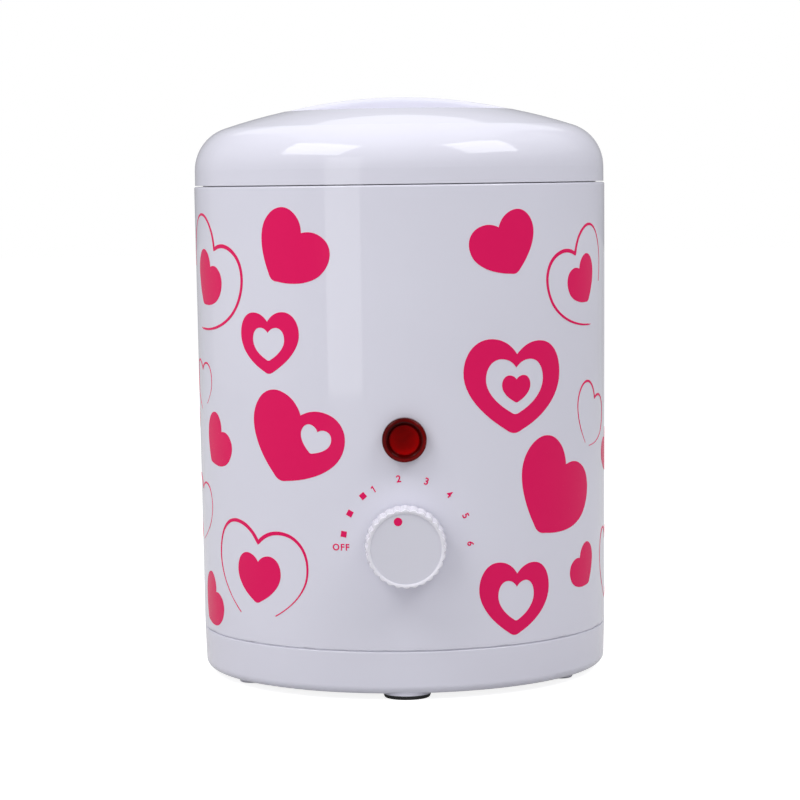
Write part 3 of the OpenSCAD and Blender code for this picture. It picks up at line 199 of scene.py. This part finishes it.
def moulded_plastic(name, colour, roughness, grain=900.0, relief=0.02, specular=0.5):
    """Injection-moulded plastic: a slow drift in tone, a fine grain and a slightly uneven gloss."""
    material, tree, shader = new_material(name, colour, roughness)
    shader.inputs["Specular IOR Level"].default_value = specular
    vector = object_space(tree)
    drift = noise(tree, vector, scale=14.0)
    vary_colour(tree, shader, drift, colour, first=0.985, second=1.01)
    fine = noise(tree, vector, scale=grain, detail=3.0)
    vary_roughness(tree, shader, fine, roughness, least=0.85, most=1.2)
    bump(tree, shader, fine, strength=relief, distance=0.02 * MM)
    return material


def sheet_metal(name, colour, roughness, stretch=30):
    """Metal with a fine level grain, as from spinning, drawing or rolling."""
    material, tree, shader = new_material(name, colour, roughness, metallic=1.0)
    vector = object_space(tree, (1, 1, stretch))
    lines = noise(tree, vector, scale=500.0, detail=4.0)
    vary_colour(tree, shader, lines, colour, first=0.9, second=1.06)
    vary_roughness(tree, shader, lines, roughness, least=0.75, most=1.35)
    bump(tree, shader, lines, strength=0.05, distance=0.01 * MM)
    return material


def woven_fibre(name, colour):
    """Glass-fibre cloth: crossed threads about a millimetre apart."""
    material, tree, shader = new_material(name, colour, roughness=0.9)
    vector = object_space(tree)
    waves = []
    for direction in ("X", "Z"):
        wave = tree.nodes.new("ShaderNodeTexWave")
        wave.bands_direction = direction
        wave.inputs["Scale"].default_value = 320.0
        wave.inputs["Distortion"].default_value = 0.4
        tree.links.new(vector, wave.inputs["Vector"])
        waves.append(wave.outputs["Fac"])
    cloth = arithmetic(tree, "MULTIPLY", *waves)
    vary_colour(tree, shader, cloth, colour, first=0.8, second=1.0, low=0.0, high=0.7)
    bump(tree, shader, cloth, strength=0.5, distance=0.15 * MM)
    return material


def layered_mica(name, colour):
    """Pressed mica: pale flakes in a brown binder."""
    material, tree, shader = new_material(name, colour, roughness=0.45)
    cells = tree.nodes.new("ShaderNodeTexVoronoi")
    cells.inputs["Scale"].default_value = 420.0
    tree.links.new(object_space(tree), cells.inputs["Vector"])
    flakes = cells.outputs["Distance"]
    vary_colour(tree, shader, flakes, colour, first=1.35, second=0.7, low=0.1, high=0.8)
    bump(tree, shader, flakes, strength=0.2, distance=0.05 * MM)
    return material


# The lamp's lens from its middle to its edge: each place, as a share of its radius, with its red. The bright
# disc and the dark ring round it are painted glow and painted shade
LENS_REDS = ((0.0, 0.22), (0.4, 0.3), (0.62, 0.46), (0.69, 0.06), (0.8, 0.06), (0.87, 0.2), (1.0, 0.12))
# Painted light: its lower right side is painted brighter than its upper left, as seen from the front
LENS_PAINTED_LIT_SIDE = (0.5, 0.0, -0.87)
LENS_PAINTED_SHADE_TO_LIGHT = (0.6, 1.5)
# From the disc to the bead round it the lens grows glossier
LENS_DISC_TO_BEAD = (0.66, 0.74)
LENS_GLOSS = (0.04, 0.1)


def red_lens_material(name):
    """Clear red acrylic over a dark cavity, its light and shade painted into the colour: a painted glow on
    the disc, a dark ring of painted shade round it and a deep red bead.
    """
    material, tree, shader = new_material(name, (0.1, 0.0, 0.002), roughness=0.06)
    coordinates = tree.nodes.new("ShaderNodeTexCoord").outputs["Object"]
    centred = vector_node(tree, "SUBTRACT", coordinates, (0, 0, lamp_axis_z)).outputs["Vector"]
    radial = vector_node(tree, "MULTIPLY", centred, (1, 0, 1)).outputs["Vector"]
    distance = vector_node(tree, "LENGTH", radial).outputs["Value"]
    reach = map_range(tree, distance, (0, lens_outer_r), (0, 1))
    # Painted glow on the disc and painted shade in the ring round it, by the distance from the middle
    painted_glow_and_shade = colour_ramp(tree, reach, [(share, (red, 0, 0)) for share, red in LENS_REDS])
    haze = tree.nodes.new("ShaderNodeMixRGB")
    haze.blend_type = "MULTIPLY"
    haze.inputs["Fac"].default_value = 0.5
    tree.links.new(painted_glow_and_shade, haze.inputs["Color1"])
    tree.links.new(noise(tree, object_space(tree), scale=220.0), haze.inputs["Color2"])
    # Painted light: the lower right side is made brighter and the upper left darker
    slant = vector_node(tree, "DOT_PRODUCT", radial, LENS_PAINTED_LIT_SIDE).outputs["Value"]
    lit = vector_node(tree, "SCALE", haze.outputs["Color"])
    light = map_range(tree, slant, (-lens_outer_r, lens_outer_r), LENS_PAINTED_SHADE_TO_LIGHT)
    tree.links.new(light, lit.inputs["Scale"])
    tree.links.new(lit.outputs["Vector"], shader.inputs["Base Color"])
    gloss = map_range(tree, reach, LENS_DISC_TO_BEAD, LENS_GLOSS)
    tree.links.new(gloss, shader.inputs["Specular IOR Level"])
    return material


def neon_material(name):
    """The lamp's small glass bulb, unlit."""
    material, tree, shader = new_material(name, (0.95, 0.62, 0.4), roughness=0.05)
    shader.inputs["Transmission Weight"].default_value = 0.7
    grain = noise(tree, object_space(tree), scale=300.0)
    bump(tree, shader, grain, strength=0.05, distance=0.02 * MM)
    return material


SHELL_WHITE = (0.82, 0.815, 0.915)
KNOB_WHITE = (0.9, 0.885, 0.96)
# The knob's sunk face is a darker copy of the knob's white: painted shade
KNOB_FACE_SHADED = (0.77, 0.765, 0.85)
PRINT_PINK = (0.87, 0.012, 0.13)

finishes = {
    "white_shell": moulded_plastic(
        "white_gloss_plastic", SHELL_WHITE, roughness=0.035, relief=0.003, specular=0.4
    ),
    "white_knob": moulded_plastic("white_knob_plastic", KNOB_WHITE, roughness=0.22),
    "black_rubber": moulded_plastic(
        "black_rubber", (0.018, 0.018, 0.019), roughness=0.75, grain=1400.0, relief=0.3
    ),
    "zinc_steel": sheet_metal("zinc_plated_steel", (0.58, 0.59, 0.61), roughness=0.32),
    "well_aluminium": sheet_metal("drawn_aluminium", (0.74, 0.75, 0.77), roughness=0.3, stretch=24),
    "pot_aluminium": sheet_metal("spun_aluminium", (0.8, 0.8, 0.82), roughness=0.24, stretch=40),
    "pot_steel": sheet_metal("polished_steel", (0.66, 0.66, 0.67), roughness=0.16, stretch=6),
    "mica": layered_mica("mica_sheet", (0.46, 0.34, 0.21)),
    "glass_fibre": woven_fibre("glass_fibre_cloth", (0.82, 0.79, 0.7)),
    "brass": sheet_metal("brass", (0.72, 0.53, 0.22), roughness=0.25, stretch=4),
    "black_case": moulded_plastic(
        "black_phenolic", (0.03, 0.03, 0.032), roughness=0.4, grain=700.0, relief=0.2
    ),
    "copper": sheet_metal("drawn_copper", (0.78, 0.42, 0.28), roughness=0.26, stretch=20),
    "fuse_metal": sheet_metal("fuse_case", (0.66, 0.63, 0.56), roughness=0.3, stretch=20),
    "red_lens": red_lens_material("red_acrylic"),
    "lamp_white": moulded_plastic(
        "white_nylon", (0.8, 0.8, 0.78), roughness=0.45, grain=600.0, relief=0.15
    ),
    "neon_glass": neon_material("neon_glass"),
    "wire_brown": moulded_plastic("brown_insulation", (0.12, 0.045, 0.02), roughness=0.4),
    "wire_blue": moulded_plastic("blue_insulation", (0.03, 0.11, 0.42), roughness=0.4),
    "wire_lamp": moulded_plastic("pale_insulation", (0.7, 0.7, 0.66), roughness=0.4),
    "wire_green": moulded_plastic("green_insulation", (0.03, 0.24, 0.05), roughness=0.4),
}
print_ink = moulded_plastic(
    "pink_print", PRINT_PINK, roughness=0.25, grain=1200.0, relief=0.05, specular=0.08
)

# Every CAD node gets the finish that its slot names
for part in frame["record"]["subparts"]:
    mesh = nodes[part["node"]].data
    mesh.materials.clear()
    mesh.materials.append(finishes[part["material_slot"]])

# Pieces made here

# Edges that turn by more than this stay sharp
CREASE = math.radians(35)


def add_piece(name, bm, material, body, smooth=True):
    """Turns a bmesh into an object that rides on a body."""
    bmesh.ops.recalc_face_normals(bm, faces=bm.faces[:])
    mesh = bpy.data.meshes.new(name)
    bm.to_mesh(mesh)
    bm.free()
    for polygon in mesh.polygons:
        polygon.use_smooth = smooth
    if smooth:
        mesh.set_sharp_from_angle(angle=CREASE)
    mesh.materials.append(material)
    piece = bpy.data.objects.new(name, mesh)
    bpy.context.scene.collection.objects.link(piece)
    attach(piece, body)
    return piece


def full_turn(steps):
    """Evenly spaced angles all the way round."""
    return [2 * math.pi * i / steps for i in range(steps)]


def join_rings(bm, first, second):
    """Faces between two rings with as many points."""
    count = len(first)
    for i in range(count):
        j = (i + 1) % count
        bm.faces.new((first[i], first[j], second[j], second[i]))


# Printed shapes: drawn flat in millimetres, with u to the right round the housing and z upwards

# The radius at which u is measured
ARC_R = 80 * MM
# The ink stands this far out of the surface, and reaches this far into it
INK_OUT = 0.05 * MM
INK_IN = -0.08 * MM
# Flat shapes are cut into strips this wide before they are bent
STRIP = 2.0 * MM


def add_region(bm, loops):
    """A flat face region from an outline and its holes."""
    loops = [[Vector((p.x * MM, p.y * MM, 0)) for p in loop] for loop in loops]
    verts = [bm.verts.new(p) for loop in loops for p in loop]
    for a, b, c in tessellate_polygon(loops):
        bm.faces.new((verts[a], verts[b], verts[c]))


def add_stroke(bm, stroke):
    """A flat ribbon between a stroke's two edges."""
    rows = [[bm.verts.new((p.x * MM, p.y * MM, 0)) for p in edge] for edge in stroke]
    for i in range(len(rows[0]) - 1):
        bm.faces.new((rows[0][i], rows[0][i + 1], rows[1][i + 1], rows[1][i]))


def wrap_print(name, bm):
    """Wraps flat inked shapes round the housing and gives them their thickness."""
    low = min(v.co.x for v in bm.verts)
    high = max(v.co.x for v in bm.verts)
    cut = math.ceil(low / STRIP) * STRIP
    while cut < high:
        everything = bm.verts[:] + bm.edges[:] + bm.faces[:]
        bmesh.ops.bisect_plane(bm, geom=everything, plane_co=(cut, 0, 0), plane_no=(1, 0, 0))
        cut += STRIP
    raised = bmesh.ops.extrude_face_region(bm, geom=bm.faces[:])
    top = {g for g in raised["geom"] if isinstance(g, bmesh.types.BMVert)}
    for v in bm.verts:
        azimuth = v.co.x / ARC_R
        radius = shell_r(v.co.y) + (INK_OUT if v in top else INK_IN)
        v.co = Vector((radius * math.sin(azimuth), -radius * math.cos(azimuth), v.co.y))
    add_piece(name, bm, print_ink, "housing", smooth=False)


# Right half of a heart one wide and one high, from its notch round the lobe to its rounded tip
NOTCH_Y = 0.345
HALF_HEART = (
    ((0, NOTCH_Y), (0.05, 0.425), (0.13, 0.50), (0.25, 0.50)),
    ((0.25, 0.50), (0.39, 0.50), (0.50, 0.36), (0.50, 0.14)),
    ((0.50, 0.14), (0.50, -0.10), (0.31, -0.32), (0.08, -0.465)),
    ((0.08, -0.465), (0.05, -0.49), (0.025, -0.50), (0.0, -0.50)),
)
CURVE_STEPS = 12
FINE_CURVE_STEPS = 20

# Hearts that the photograph shows, each by its notch, its tip and its width
FRONT_SOLIDS = (
    ((-38.4, 172.6), (-51.8, 155.6), 31.5),
    ((-62.0, 49.5), (-63.0, 34.0), 23.5),
    ((-91.2, 159.5), (-99.8, 145.6), 25),
    ((-84.5, 97.0), (-95.0, 85.5), 22.8),
    ((-93.5, 34.6), (-104.5, 23.6), 22.5),
    ((37.0, 173.8), (44.6, 156.9), 28.6),
    ((80.0, 157.3), (87.3, 145.0), 21.5),
    ((44.4, 117.6), (44.3, 109.1), 12.7),
    ((70.2, 84.1), (54.4, 60.2), 42),
    ((80.2, 47.4), (87.5, 37.2), 20),
    ((115.0, 90.0), (119.0, 77.5), 22),
)
# Hearts with a hole: the outline, then the hole
FRONT_RINGS = (
    (((-54.5, 139.8), (-54.0, 120.5), 28.6), ((-54.3, 135.7), (-54.2, 125.4), 15.4)),
    (((-40.0, 105.5), (-50.1, 81.2), 41.5), ((-33.1, 99.5), (-36.2, 91.6), 12.8)),
    (((44.7, 126.9), (43.0, 97.8), 43.8), ((44.3, 122.0), (43.8, 104.8), 25.8)),
    (((44.2, 45.3), (42.7, 22.4), 31.8), ((44.0, 40.4), (43.6, 27.8), 16.2)),
)
# Hearts as a pen stroke: the outline, then the stroke's thickness, and its start and end as shares of it
FRONT_STROKES = (
    (((-61.7, 56.8), (-66.0, 25.5), 49), 1.5, 0.155, 0.865),
    (((-87.2, 166.2), (-104.5, 136.5), 49), 1.5, 0.03, 0.8),
    (((-104.5, 120.0), (-105.5, 104.0), 24), 0.8, 0.165, 0.9),
    (((-110.0, 73.3), (-113.0, 53.0), 31), 0.8, 0.12, 0.9),
    (((76.9, 163.0), (91.0, 136.5), 42.5), 1.4, 0.18, 0.95),
    (((94.4, 107.5), (86.0, 90.0), 28.5), 1.0, 0.12, 0.905),
    (((115.5, 51.3), (114.5, 27.5), 27), 0.9, 0.1, 0.92),
)

# The back, which the photograph doesn't show, goes on in the same manner: each heart by u, z, width and lean
BACK_SOLIDS = (
    (139, 158, 28, 24), (131, 104, 18, -18), (162, 125, 23, -16), (142, 38, 26, -28), (187, 91, 22, 30),
    (178, 165, 24, -14), (209, 136, 40, 18), (201, 28, 20, 22), (241, 100, 26, -24), (-236, 134, 24, 30),
    (-209, 93, 25, 12), (-221, 40, 26, -20), (-190, 50, 22, 28), (-176, 128, 28, 20), (-156, 84, 38, -26),
    (-160, 34, 20, -16), (-136, 52, 22, 30), (-135, 166, 18, -24), (-128, 99, 15, 14), (-133, 22, 16, -14),
)
BACK_RINGS = ((150, 77, 36, 12), (212, 70, 30, -12), (-202, 158, 34, -22), (-141, 136, 30, 16))
BACK_STROKES = (
    ((162, 124, 46, -20), 1.4),
    ((176, 50, 24, 10), 0.8),
    ((243, 163, 26, 8), 0.9),
    ((-208, 92, 48, 14), 1.4),
    ((-166, 168, 20, -10), 0.8),
)
BACK_WIDTH_TO_HEIGHT = 1.22
BACK_HOLE_SHARE = 0.56
BACK_STROKE_START = 0.07
BACK_STROKE_END = 0.93


def bezier(points, steps):
    """Points of a cubic curve, without its last."""
    a, b, c, d = (Vector(p) for p in points)
    found = []
    for i in range(steps):
        t = i / steps
        u = 1 - t
        found.append(a * u**3 + b * 3 * u * u * t + c * 3 * u * t * t + d * t**3)
    return found


def heart(notch, tip, width, steps=CURVE_STEPS):
    """A heart's closed outline, anticlockwise from its tip."""
    right = [p for part in HALF_HEART for p in bezier(part, steps)]
    left = [Vector((-p.x, p.y)) for p in right]
    outline = [Vector((0, -0.5))] + right[::-1] + left[1:]
    notch, tip = Vector(notch), Vector(tip)
    up = (notch - tip).normalized()
    across = Vector((up.y, -up.x))
    height = (notch - tip).length / (NOTCH_Y + 0.5)
    middle = tip + up * height / 2
    return [middle + across * p.x * width + up * p.y * height for p in outline]


def leaning_heart(u, z, width, lean):
    """A heart given by its middle and how far it leans clockwise, in degrees."""
    up = Vector((math.sin(math.radians(lean)), math.cos(math.radians(lean))))
    height = width / BACK_WIDTH_TO_HEIGHT
    middle = Vector((u, z))
    return heart(middle + up * height * NOTCH_Y, middle - up * height / 2, width)


def brushed(outline, thick, start, end):
    """A pen stroke along part of an outline, thin at both ends: two edges that run side by side."""
    thinnest = 0.15
    fullness = 0.7
    count = len(outline)
    first, last = round(start * count), round(end * count)
    outer, inner = [], []
    for i in range(first, last + 1):
        here = outline[i % count]
        along = (outline[(i + 1) % count] - outline[(i - 1) % count]).normalized()
        side = Vector((along.y, -along.x))
        share = (i - first) / (last - first)
        half = thick / 2 * max(thinnest, math.sin(math.pi * share)) ** fullness
        outer.append(here + side * half)
        inner.append(here - side * half)
    return outer, inner


def add_hearts():
    """The hearts all round the housing: solid ones, ones with a hole and ones drawn as a pen stroke."""
    solids = [heart(*sizes) for sizes in FRONT_SOLIDS]
    solids += [leaning_heart(*sizes) for sizes in BACK_SOLIDS]
    rings = [[heart(*outline), heart(*hole)] for outline, hole in FRONT_RINGS]
    for u, z, width, lean in BACK_RINGS:
        hole = leaning_heart(u, z, width * BACK_HOLE_SHARE, lean)
        rings.append([leaning_heart(u, z, width, lean), hole])
    strokes = []
    for sizes, thick, start, end in FRONT_STROKES:
        strokes.append(brushed(heart(*sizes, FINE_CURVE_STEPS), thick, start, end))
    for sizes, thick in BACK_STROKES:
        strokes.append(brushed(leaning_heart(*sizes), thick, BACK_STROKE_START, BACK_STROKE_END))
    bm = bmesh.new()
    for outline in solids:
        add_region(bm, [outline])
    for loops in rings:
        add_region(bm, loops)
    for stroke in strokes:
        add_stroke(bm, stroke)
    wrap_print("print_hearts", bm)


# Dial scale: places by u and z, as in the photograph, and turns clockwise in degrees
SCALE_SQUARE = 2.2
SCALE_SQUARES = ((-23.3, 62.0), (-20.8, 69.7), (-15.7, 76.2))
DIGIT_HEIGHT = 2.6
WORD_HEIGHT = 2.45
LETTERING = (
    ("2", -2.3, 82.4, -6),
    ("3", 8.0, 81.3, 18),
    ("4", 16.5, 76.3, 41),
    ("5", 22.7, 68.2, 64),
    ("6", 24.5, 57.8, 89),
    ("OFF", -24.5, 57.0, 0),
)
# The figure one has a flag, which the built-in font's lacks, so its outline is drawn here, one high
FIGURE_ONE = ((0.0, -0.5), (0.17, -0.5), (0.17, 0.5), (0.03, 0.5), (-0.24, 0.32), (-0.2, 0.16), (0.0, 0.26))
FIGURE_ONE_PLACE = (-11.8, 78.7)
FIGURE_ONE_TURN = -30


def add_lettering(bm, text, u, z, turn):
    """Plain lettering, centred at a place and turned clockwise."""
    capital_share = 0.72
    bolder = 0.07 * MM
    word_spacing = 1.18
    is_word = len(text) > 1
    curve = bpy.data.curves.new("lettering", "FONT")
    curve.body = text
    curve.align_x = "CENTER"
    curve.align_y = "CENTER"
    curve.size = (WORD_HEIGHT if is_word else DIGIT_HEIGHT) * MM / capital_share
    curve.offset = bolder
    curve.space_character = word_spacing if is_word else 1.0
    curve.resolution_u = 4
    holder = bpy.data.objects.new("lettering", curve)
    mesh = bpy.data.meshes.new_from_object(holder)
    mesh.transform(Matrix.Translation((u * MM, z * MM, 0)) @ Matrix.Rotation(math.radians(-turn), 4, "Z"))
    bm.from_mesh(mesh)
    bpy.data.objects.remove(holder)
    bpy.data.curves.remove(curve)
    bpy.data.meshes.remove(mesh)


def add_scale():
    """The dial's marks: three squares up from the word off, then digits that turn their feet to the knob."""
    bm = bmesh.new()
    for place in SCALE_SQUARES:
        middle = Vector(place)
        out = (middle - Vector((0, knob_axis_z / MM))).normalized() * SCALE_SQUARE / 2
        side = Vector((out.y, -out.x))
        add_region(bm, [[middle + out + side, middle - out + side, middle - out - side, middle + out - side]])
    turned = Matrix.Rotation(math.radians(-FIGURE_ONE_TURN), 2)
    add_region(bm, [[Vector(FIGURE_ONE_PLACE) + turned @ (Vector(p) * DIGIT_HEIGHT) for p in FIGURE_ONE]])
    for text, u, z, turn in LETTERING:
        add_lettering(bm, text, u, z, turn)
    wrap_print("print_scale", bm)


# How far the knob's face lies behind its rim, in millimetres
FACE_DEPTH = 0.5
FLUTES = 28
STEPS_PER_FLUTE = 12


def knob_profile():
    """The knob's profile in millimetres, from its bore round its back to its face.

    Each point has its radius, its distance from the knob's back and the depth of the flutes there.
    """
    length = (knob_back_y - knob_front_y) / MM
    back_r = knob_outer_r / MM
    taper = 0.45
    front_r = back_r - taper
    face_r = 12.95
    wall = 2.0
    web_y = length - 2.3
    corner_across = 0.4
    corner_along = 0.6
    hub_r = 5.4
    hub_y = 0.8
    hub_chamfer = 0.2
    bore_r = 3.03
    bore_y = 7.6
    side_rows = 20
    side_start = 0.1
    side_end = length - 0.4
    start_flute = 0.4
    end_flute = 0.8
    # Edges: how far each point lies inside the radius, its place from the back, and the flutes' depth
    back_edge = ((0.3, 0, 0.2), (0.08, side_start, start_flute))
    rim = (
        (0.02, side_end, end_flute),
        (0.15, length - 0.15, 0.7),
        (0.45, length, 0.45),
        (0.9, length - 0.04, 0.1),
    )
    face_edge = ((-0.3, length - 0.14, 0), (-0.05, length - 0.3, 0), (0, length - FACE_DEPTH, 0))
    points = [(bore_r, bore_y, 0), (bore_r, hub_y, 0)]
    points += [(hub_r - hub_chamfer, hub_y, 0), (hub_r, hub_y + hub_chamfer, 0), (hub_r, web_y, 0)]
    points += [(front_r - wall - corner_across, web_y, 0), (front_r - wall, web_y - corner_along, 0)]
    points.append((back_r - wall, 0, 0))
    points += [(back_r - inside, y, flute) for inside, y, flute in back_edge]
    for i in range(1, side_rows):
        share = i / side_rows
        y = side_start + (side_end - side_start) * share
        points.append((back_r - taper * share, y, start_flute + (end_flute - start_flute) * share))
    points += [(front_r - inside, y, flute) for inside, y, flute in rim]
    points += [(face_r - inside, y, flute) for inside, y, flute in face_edge]
    return points


def add_knob():
    """The knob: fluted all along its side, with a rim round its sunk face, which is painted darker as shade,
    and hollow behind.
    """
    bm = bmesh.new()
    rings = []
    for r, y, flute in knob_profile():
        ring = []
        for angle in full_turn(FLUTES * STEPS_PER_FLUTE):
            wave = abs(math.cos(FLUTES * angle / 2))
            radius = (r - flute * (1 - wave)) * MM
            place = (radius * math.sin(angle), knob_back_y - y * MM, knob_axis_z + radius * math.cos(angle))
            ring.append(bm.verts.new(place))
        rings.append(ring)
    for first, second in zip(rings, rings[1:]):
        join_rings(bm, first, second)
    bm.faces.new(rings[0])
    bm.faces.new(rings[-1]).material_index = 1
    knob = add_piece("knob_fluted", bm, finishes["white_knob"], "knob")
    # The face takes a darker copy of the knob's plastic: painted shade
    knob.data.materials.append(moulded_plastic("knob_face_shaded_plastic", KNOB_FACE_SHADED, roughness=0.3, specular=0.4))
    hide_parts("control_knob")
    return knob_front_y + FACE_DEPTH * MM


def add_pointer(face_y):
    """The pink dot on the knob's face, up from its middle and a little to the left."""
    turn = math.radians(-15.4)
    out = 10.4 * MM
    dot_r = 1.55 * MM
    sunk = 0.2 * MM
    raised = 0.05 * MM
    angles = full_turn(40)
    x, z = out * math.sin(turn), knob_axis_z + out * math.cos(turn)
    bm = bmesh.new()
    rims = []
    for y in (face_y + sunk, face_y - raised):
        rims.append([bm.verts.new((x + dot_r * math.cos(a), y, z + dot_r * math.sin(a))) for a in angles])
    join_rings(bm, *rims)
    for rim in rims:
        bm.faces.new(rim)
    add_piece("pointer_dot", bm, print_ink, "knob", smooth=False)


def add_seam_lip():
    """The base cover's tongue where it shows in the seam under the housing, just below the surface."""
    seam_gap = 0.4 * MM
    seam_z = shell_low.z - seam_gap / 2
    half_height = 0.5 * MM
    width = 1.2 * MM
    outer_r = base_ring_r - 0.55 * MM
    inner_r = outer_r - width
    angles = full_turn(192)
    section = (
        (inner_r, -half_height),
        (outer_r, -half_height),
        (outer_r, half_height),
        (inner_r, half_height),
    )
    bm = bmesh.new()
    rings = []
    for r, up in section:
        rings.append([bm.verts.new((r * math.cos(a), r * math.sin(a), seam_z + up)) for a in angles])
    for first, second in zip(rings, rings[1:] + rings[:1]):
        join_rings(bm, first, second)
    add_piece("base_seam_lip", bm, finishes["white_shell"], "housing")


add_hearts()
add_scale()
add_pointer(add_knob())
add_seam_lip()

# Floor, light and camera

LIGHTS_AIM = Vector((0, 0, 0.12))
# Softboxes: azimuth from the front and elevation in degrees, distance, width and height, radiance
LIGHTS = (
    ("softbox_left", -55, 46, 1.15, (0.66, 0.5), 4.6),
    ("softbox_right", 57, 46, 1.15, (0.6, 0.5), 4.8),
    ("strip_left", -31, 4, 1.3, (0.44, 1.2), 1.6),
    ("wall_left", -94, 10, 1.3, (1.9, 1.2), 0.2),
    ("wall_right", 98, 38, 1.3, (1.4, 0.7), 0.25),
    ("overhead", 0, 85, 1.2, (1.4, 1.4), 0.4),
    ("rear_top", 180, 48, 1.5, (1.4, 0.8), 0.5),
)


def add_light(name, azimuth, elevation, distance, size, radiance):
    """A rectangular softbox aimed at the object."""
    az, el = math.radians(azimuth), math.radians(elevation)
    way = Vector((math.sin(az) * math.cos(el), -math.cos(az) * math.cos(el), math.sin(el)))
    data = bpy.data.lights.new(name, "AREA")
    data.shape = "RECTANGLE"
    data.size, data.size_y = size
    data.energy = radiance * math.pi * size[0] * size[1]
    lamp = bpy.data.objects.new(name, data)
    bpy.context.scene.collection.objects.link(lamp)
    lamp.location = LIGHTS_AIM + way * distance
    lamp.rotation_euler = (-way).to_track_quat("-Z", "Y").to_euler()


def add_floor():
    """A pale floor that the camera sees as white, darker only where the object shades it."""
    half = 6.0
    glow_seen = 0.85
    glow_mirrored = 0.3
    bm = bmesh.new()
    corners = [bm.verts.new((x * half, y * half, 0)) for x, y in ((-1, -1), (1, -1), (1, 1), (-1, 1))]
    bm.faces.new(corners)
    mesh = bpy.data.meshes.new("floor")
    bm.to_mesh(mesh)
    bm.free()
    floor = bpy.data.objects.new("floor", mesh)
    bpy.context.scene.collection.objects.link(floor)
    material, tree, shader = new_material("pale_floor", (0.5, 0.5, 0.5), roughness=0.9)
    shader.inputs["Specular IOR Level"].default_value = 0.0
    path = tree.nodes.new("ShaderNodeLightPath")
    mirrored = arithmetic(tree, "MULTIPLY", path.outputs["Is Glossy Ray"], glow_mirrored)
    strength = arithmetic(tree, "MULTIPLY_ADD", path.outputs["Is Camera Ray"], glow_seen, mirrored)
    glow = tree.nodes.new("ShaderNodeEmission")
    both = tree.nodes.new("ShaderNodeAddShader")
    tree.links.new(strength, glow.inputs["Strength"])
    tree.links.new(shader.outputs["BSDF"], both.inputs[0])
    tree.links.new(glow.outputs["Emission"], both.inputs[1])
    tree.links.new(both.outputs["Shader"], tree.nodes["Material Output"].inputs["Surface"])
    mesh.materials.append(material)


def add_world():
    """White where the camera looks, a softer pale light on the object and in its reflections."""
    world = bpy.data.worlds.new("studio")
    bpy.context.scene.world = world
    world.use_nodes = True
    tree = world.node_tree
    pale = tree.nodes["Background"]
    pale.inputs["Color"].default_value = (0.95, 0.955, 1.0, 1)
    pale.inputs["Strength"].default_value = 0.36
    white = tree.nodes.new("ShaderNodeBackground")
    white.inputs["Color"].default_value = (1, 1, 1, 1)
    white.inputs["Strength"].default_value = 1.0
    path = tree.nodes.new("ShaderNodeLightPath")
    mix = tree.nodes.new("ShaderNodeMixShader")
    tree.links.new(path.outputs["Is Camera Ray"], mix.inputs["Fac"])
    tree.links.new(pale.outputs["Background"], mix.inputs[1])
    tree.links.new(white.outputs["Background"], mix.inputs[2])
    tree.links.new(mix.outputs["Shader"], tree.nodes["World Output"].inputs["Surface"])


def add_camera():
    """The photograph's camera: its place, its pitch and its slight roll."""
    distance = 1.1044
    height = 0.1927
    aside = -0.8 * MM
    pitch = math.radians(4.53)
    roll = math.radians(0.742)
    # It stands a little to the left, so that the controls show just right of the middle
    round_object = math.radians(-0.43)
    data = bpy.data.cameras.new("camera")
    data.sensor_width = 36.0
    data.lens = 126.72
    camera = bpy.data.objects.new("camera", data)
    bpy.context.scene.collection.objects.link(camera)
    right = Vector((1, 0, 0))
    forward = Vector((0, math.cos(pitch), -math.sin(pitch)))
    up = Vector((0, math.sin(pitch), math.cos(pitch)))
    axis_x = right * math.cos(roll) - up * math.sin(roll)
    axis_y = right * math.sin(roll) + up * math.cos(roll)
    aimed = Matrix((axis_x, axis_y, -forward)).transposed().to_4x4()
    place = Matrix.Translation((aside, -distance, height)) @ aimed
    camera.matrix_world = Matrix.Rotation(round_object, 4, "Z") @ place
    bpy.context.scene.camera = camera


add_camera()
add_floor()
add_world()
for light in LIGHTS:
    add_light(*light)

scene = bpy.context.scene
scene.view_settings.view_transform = "Standard"
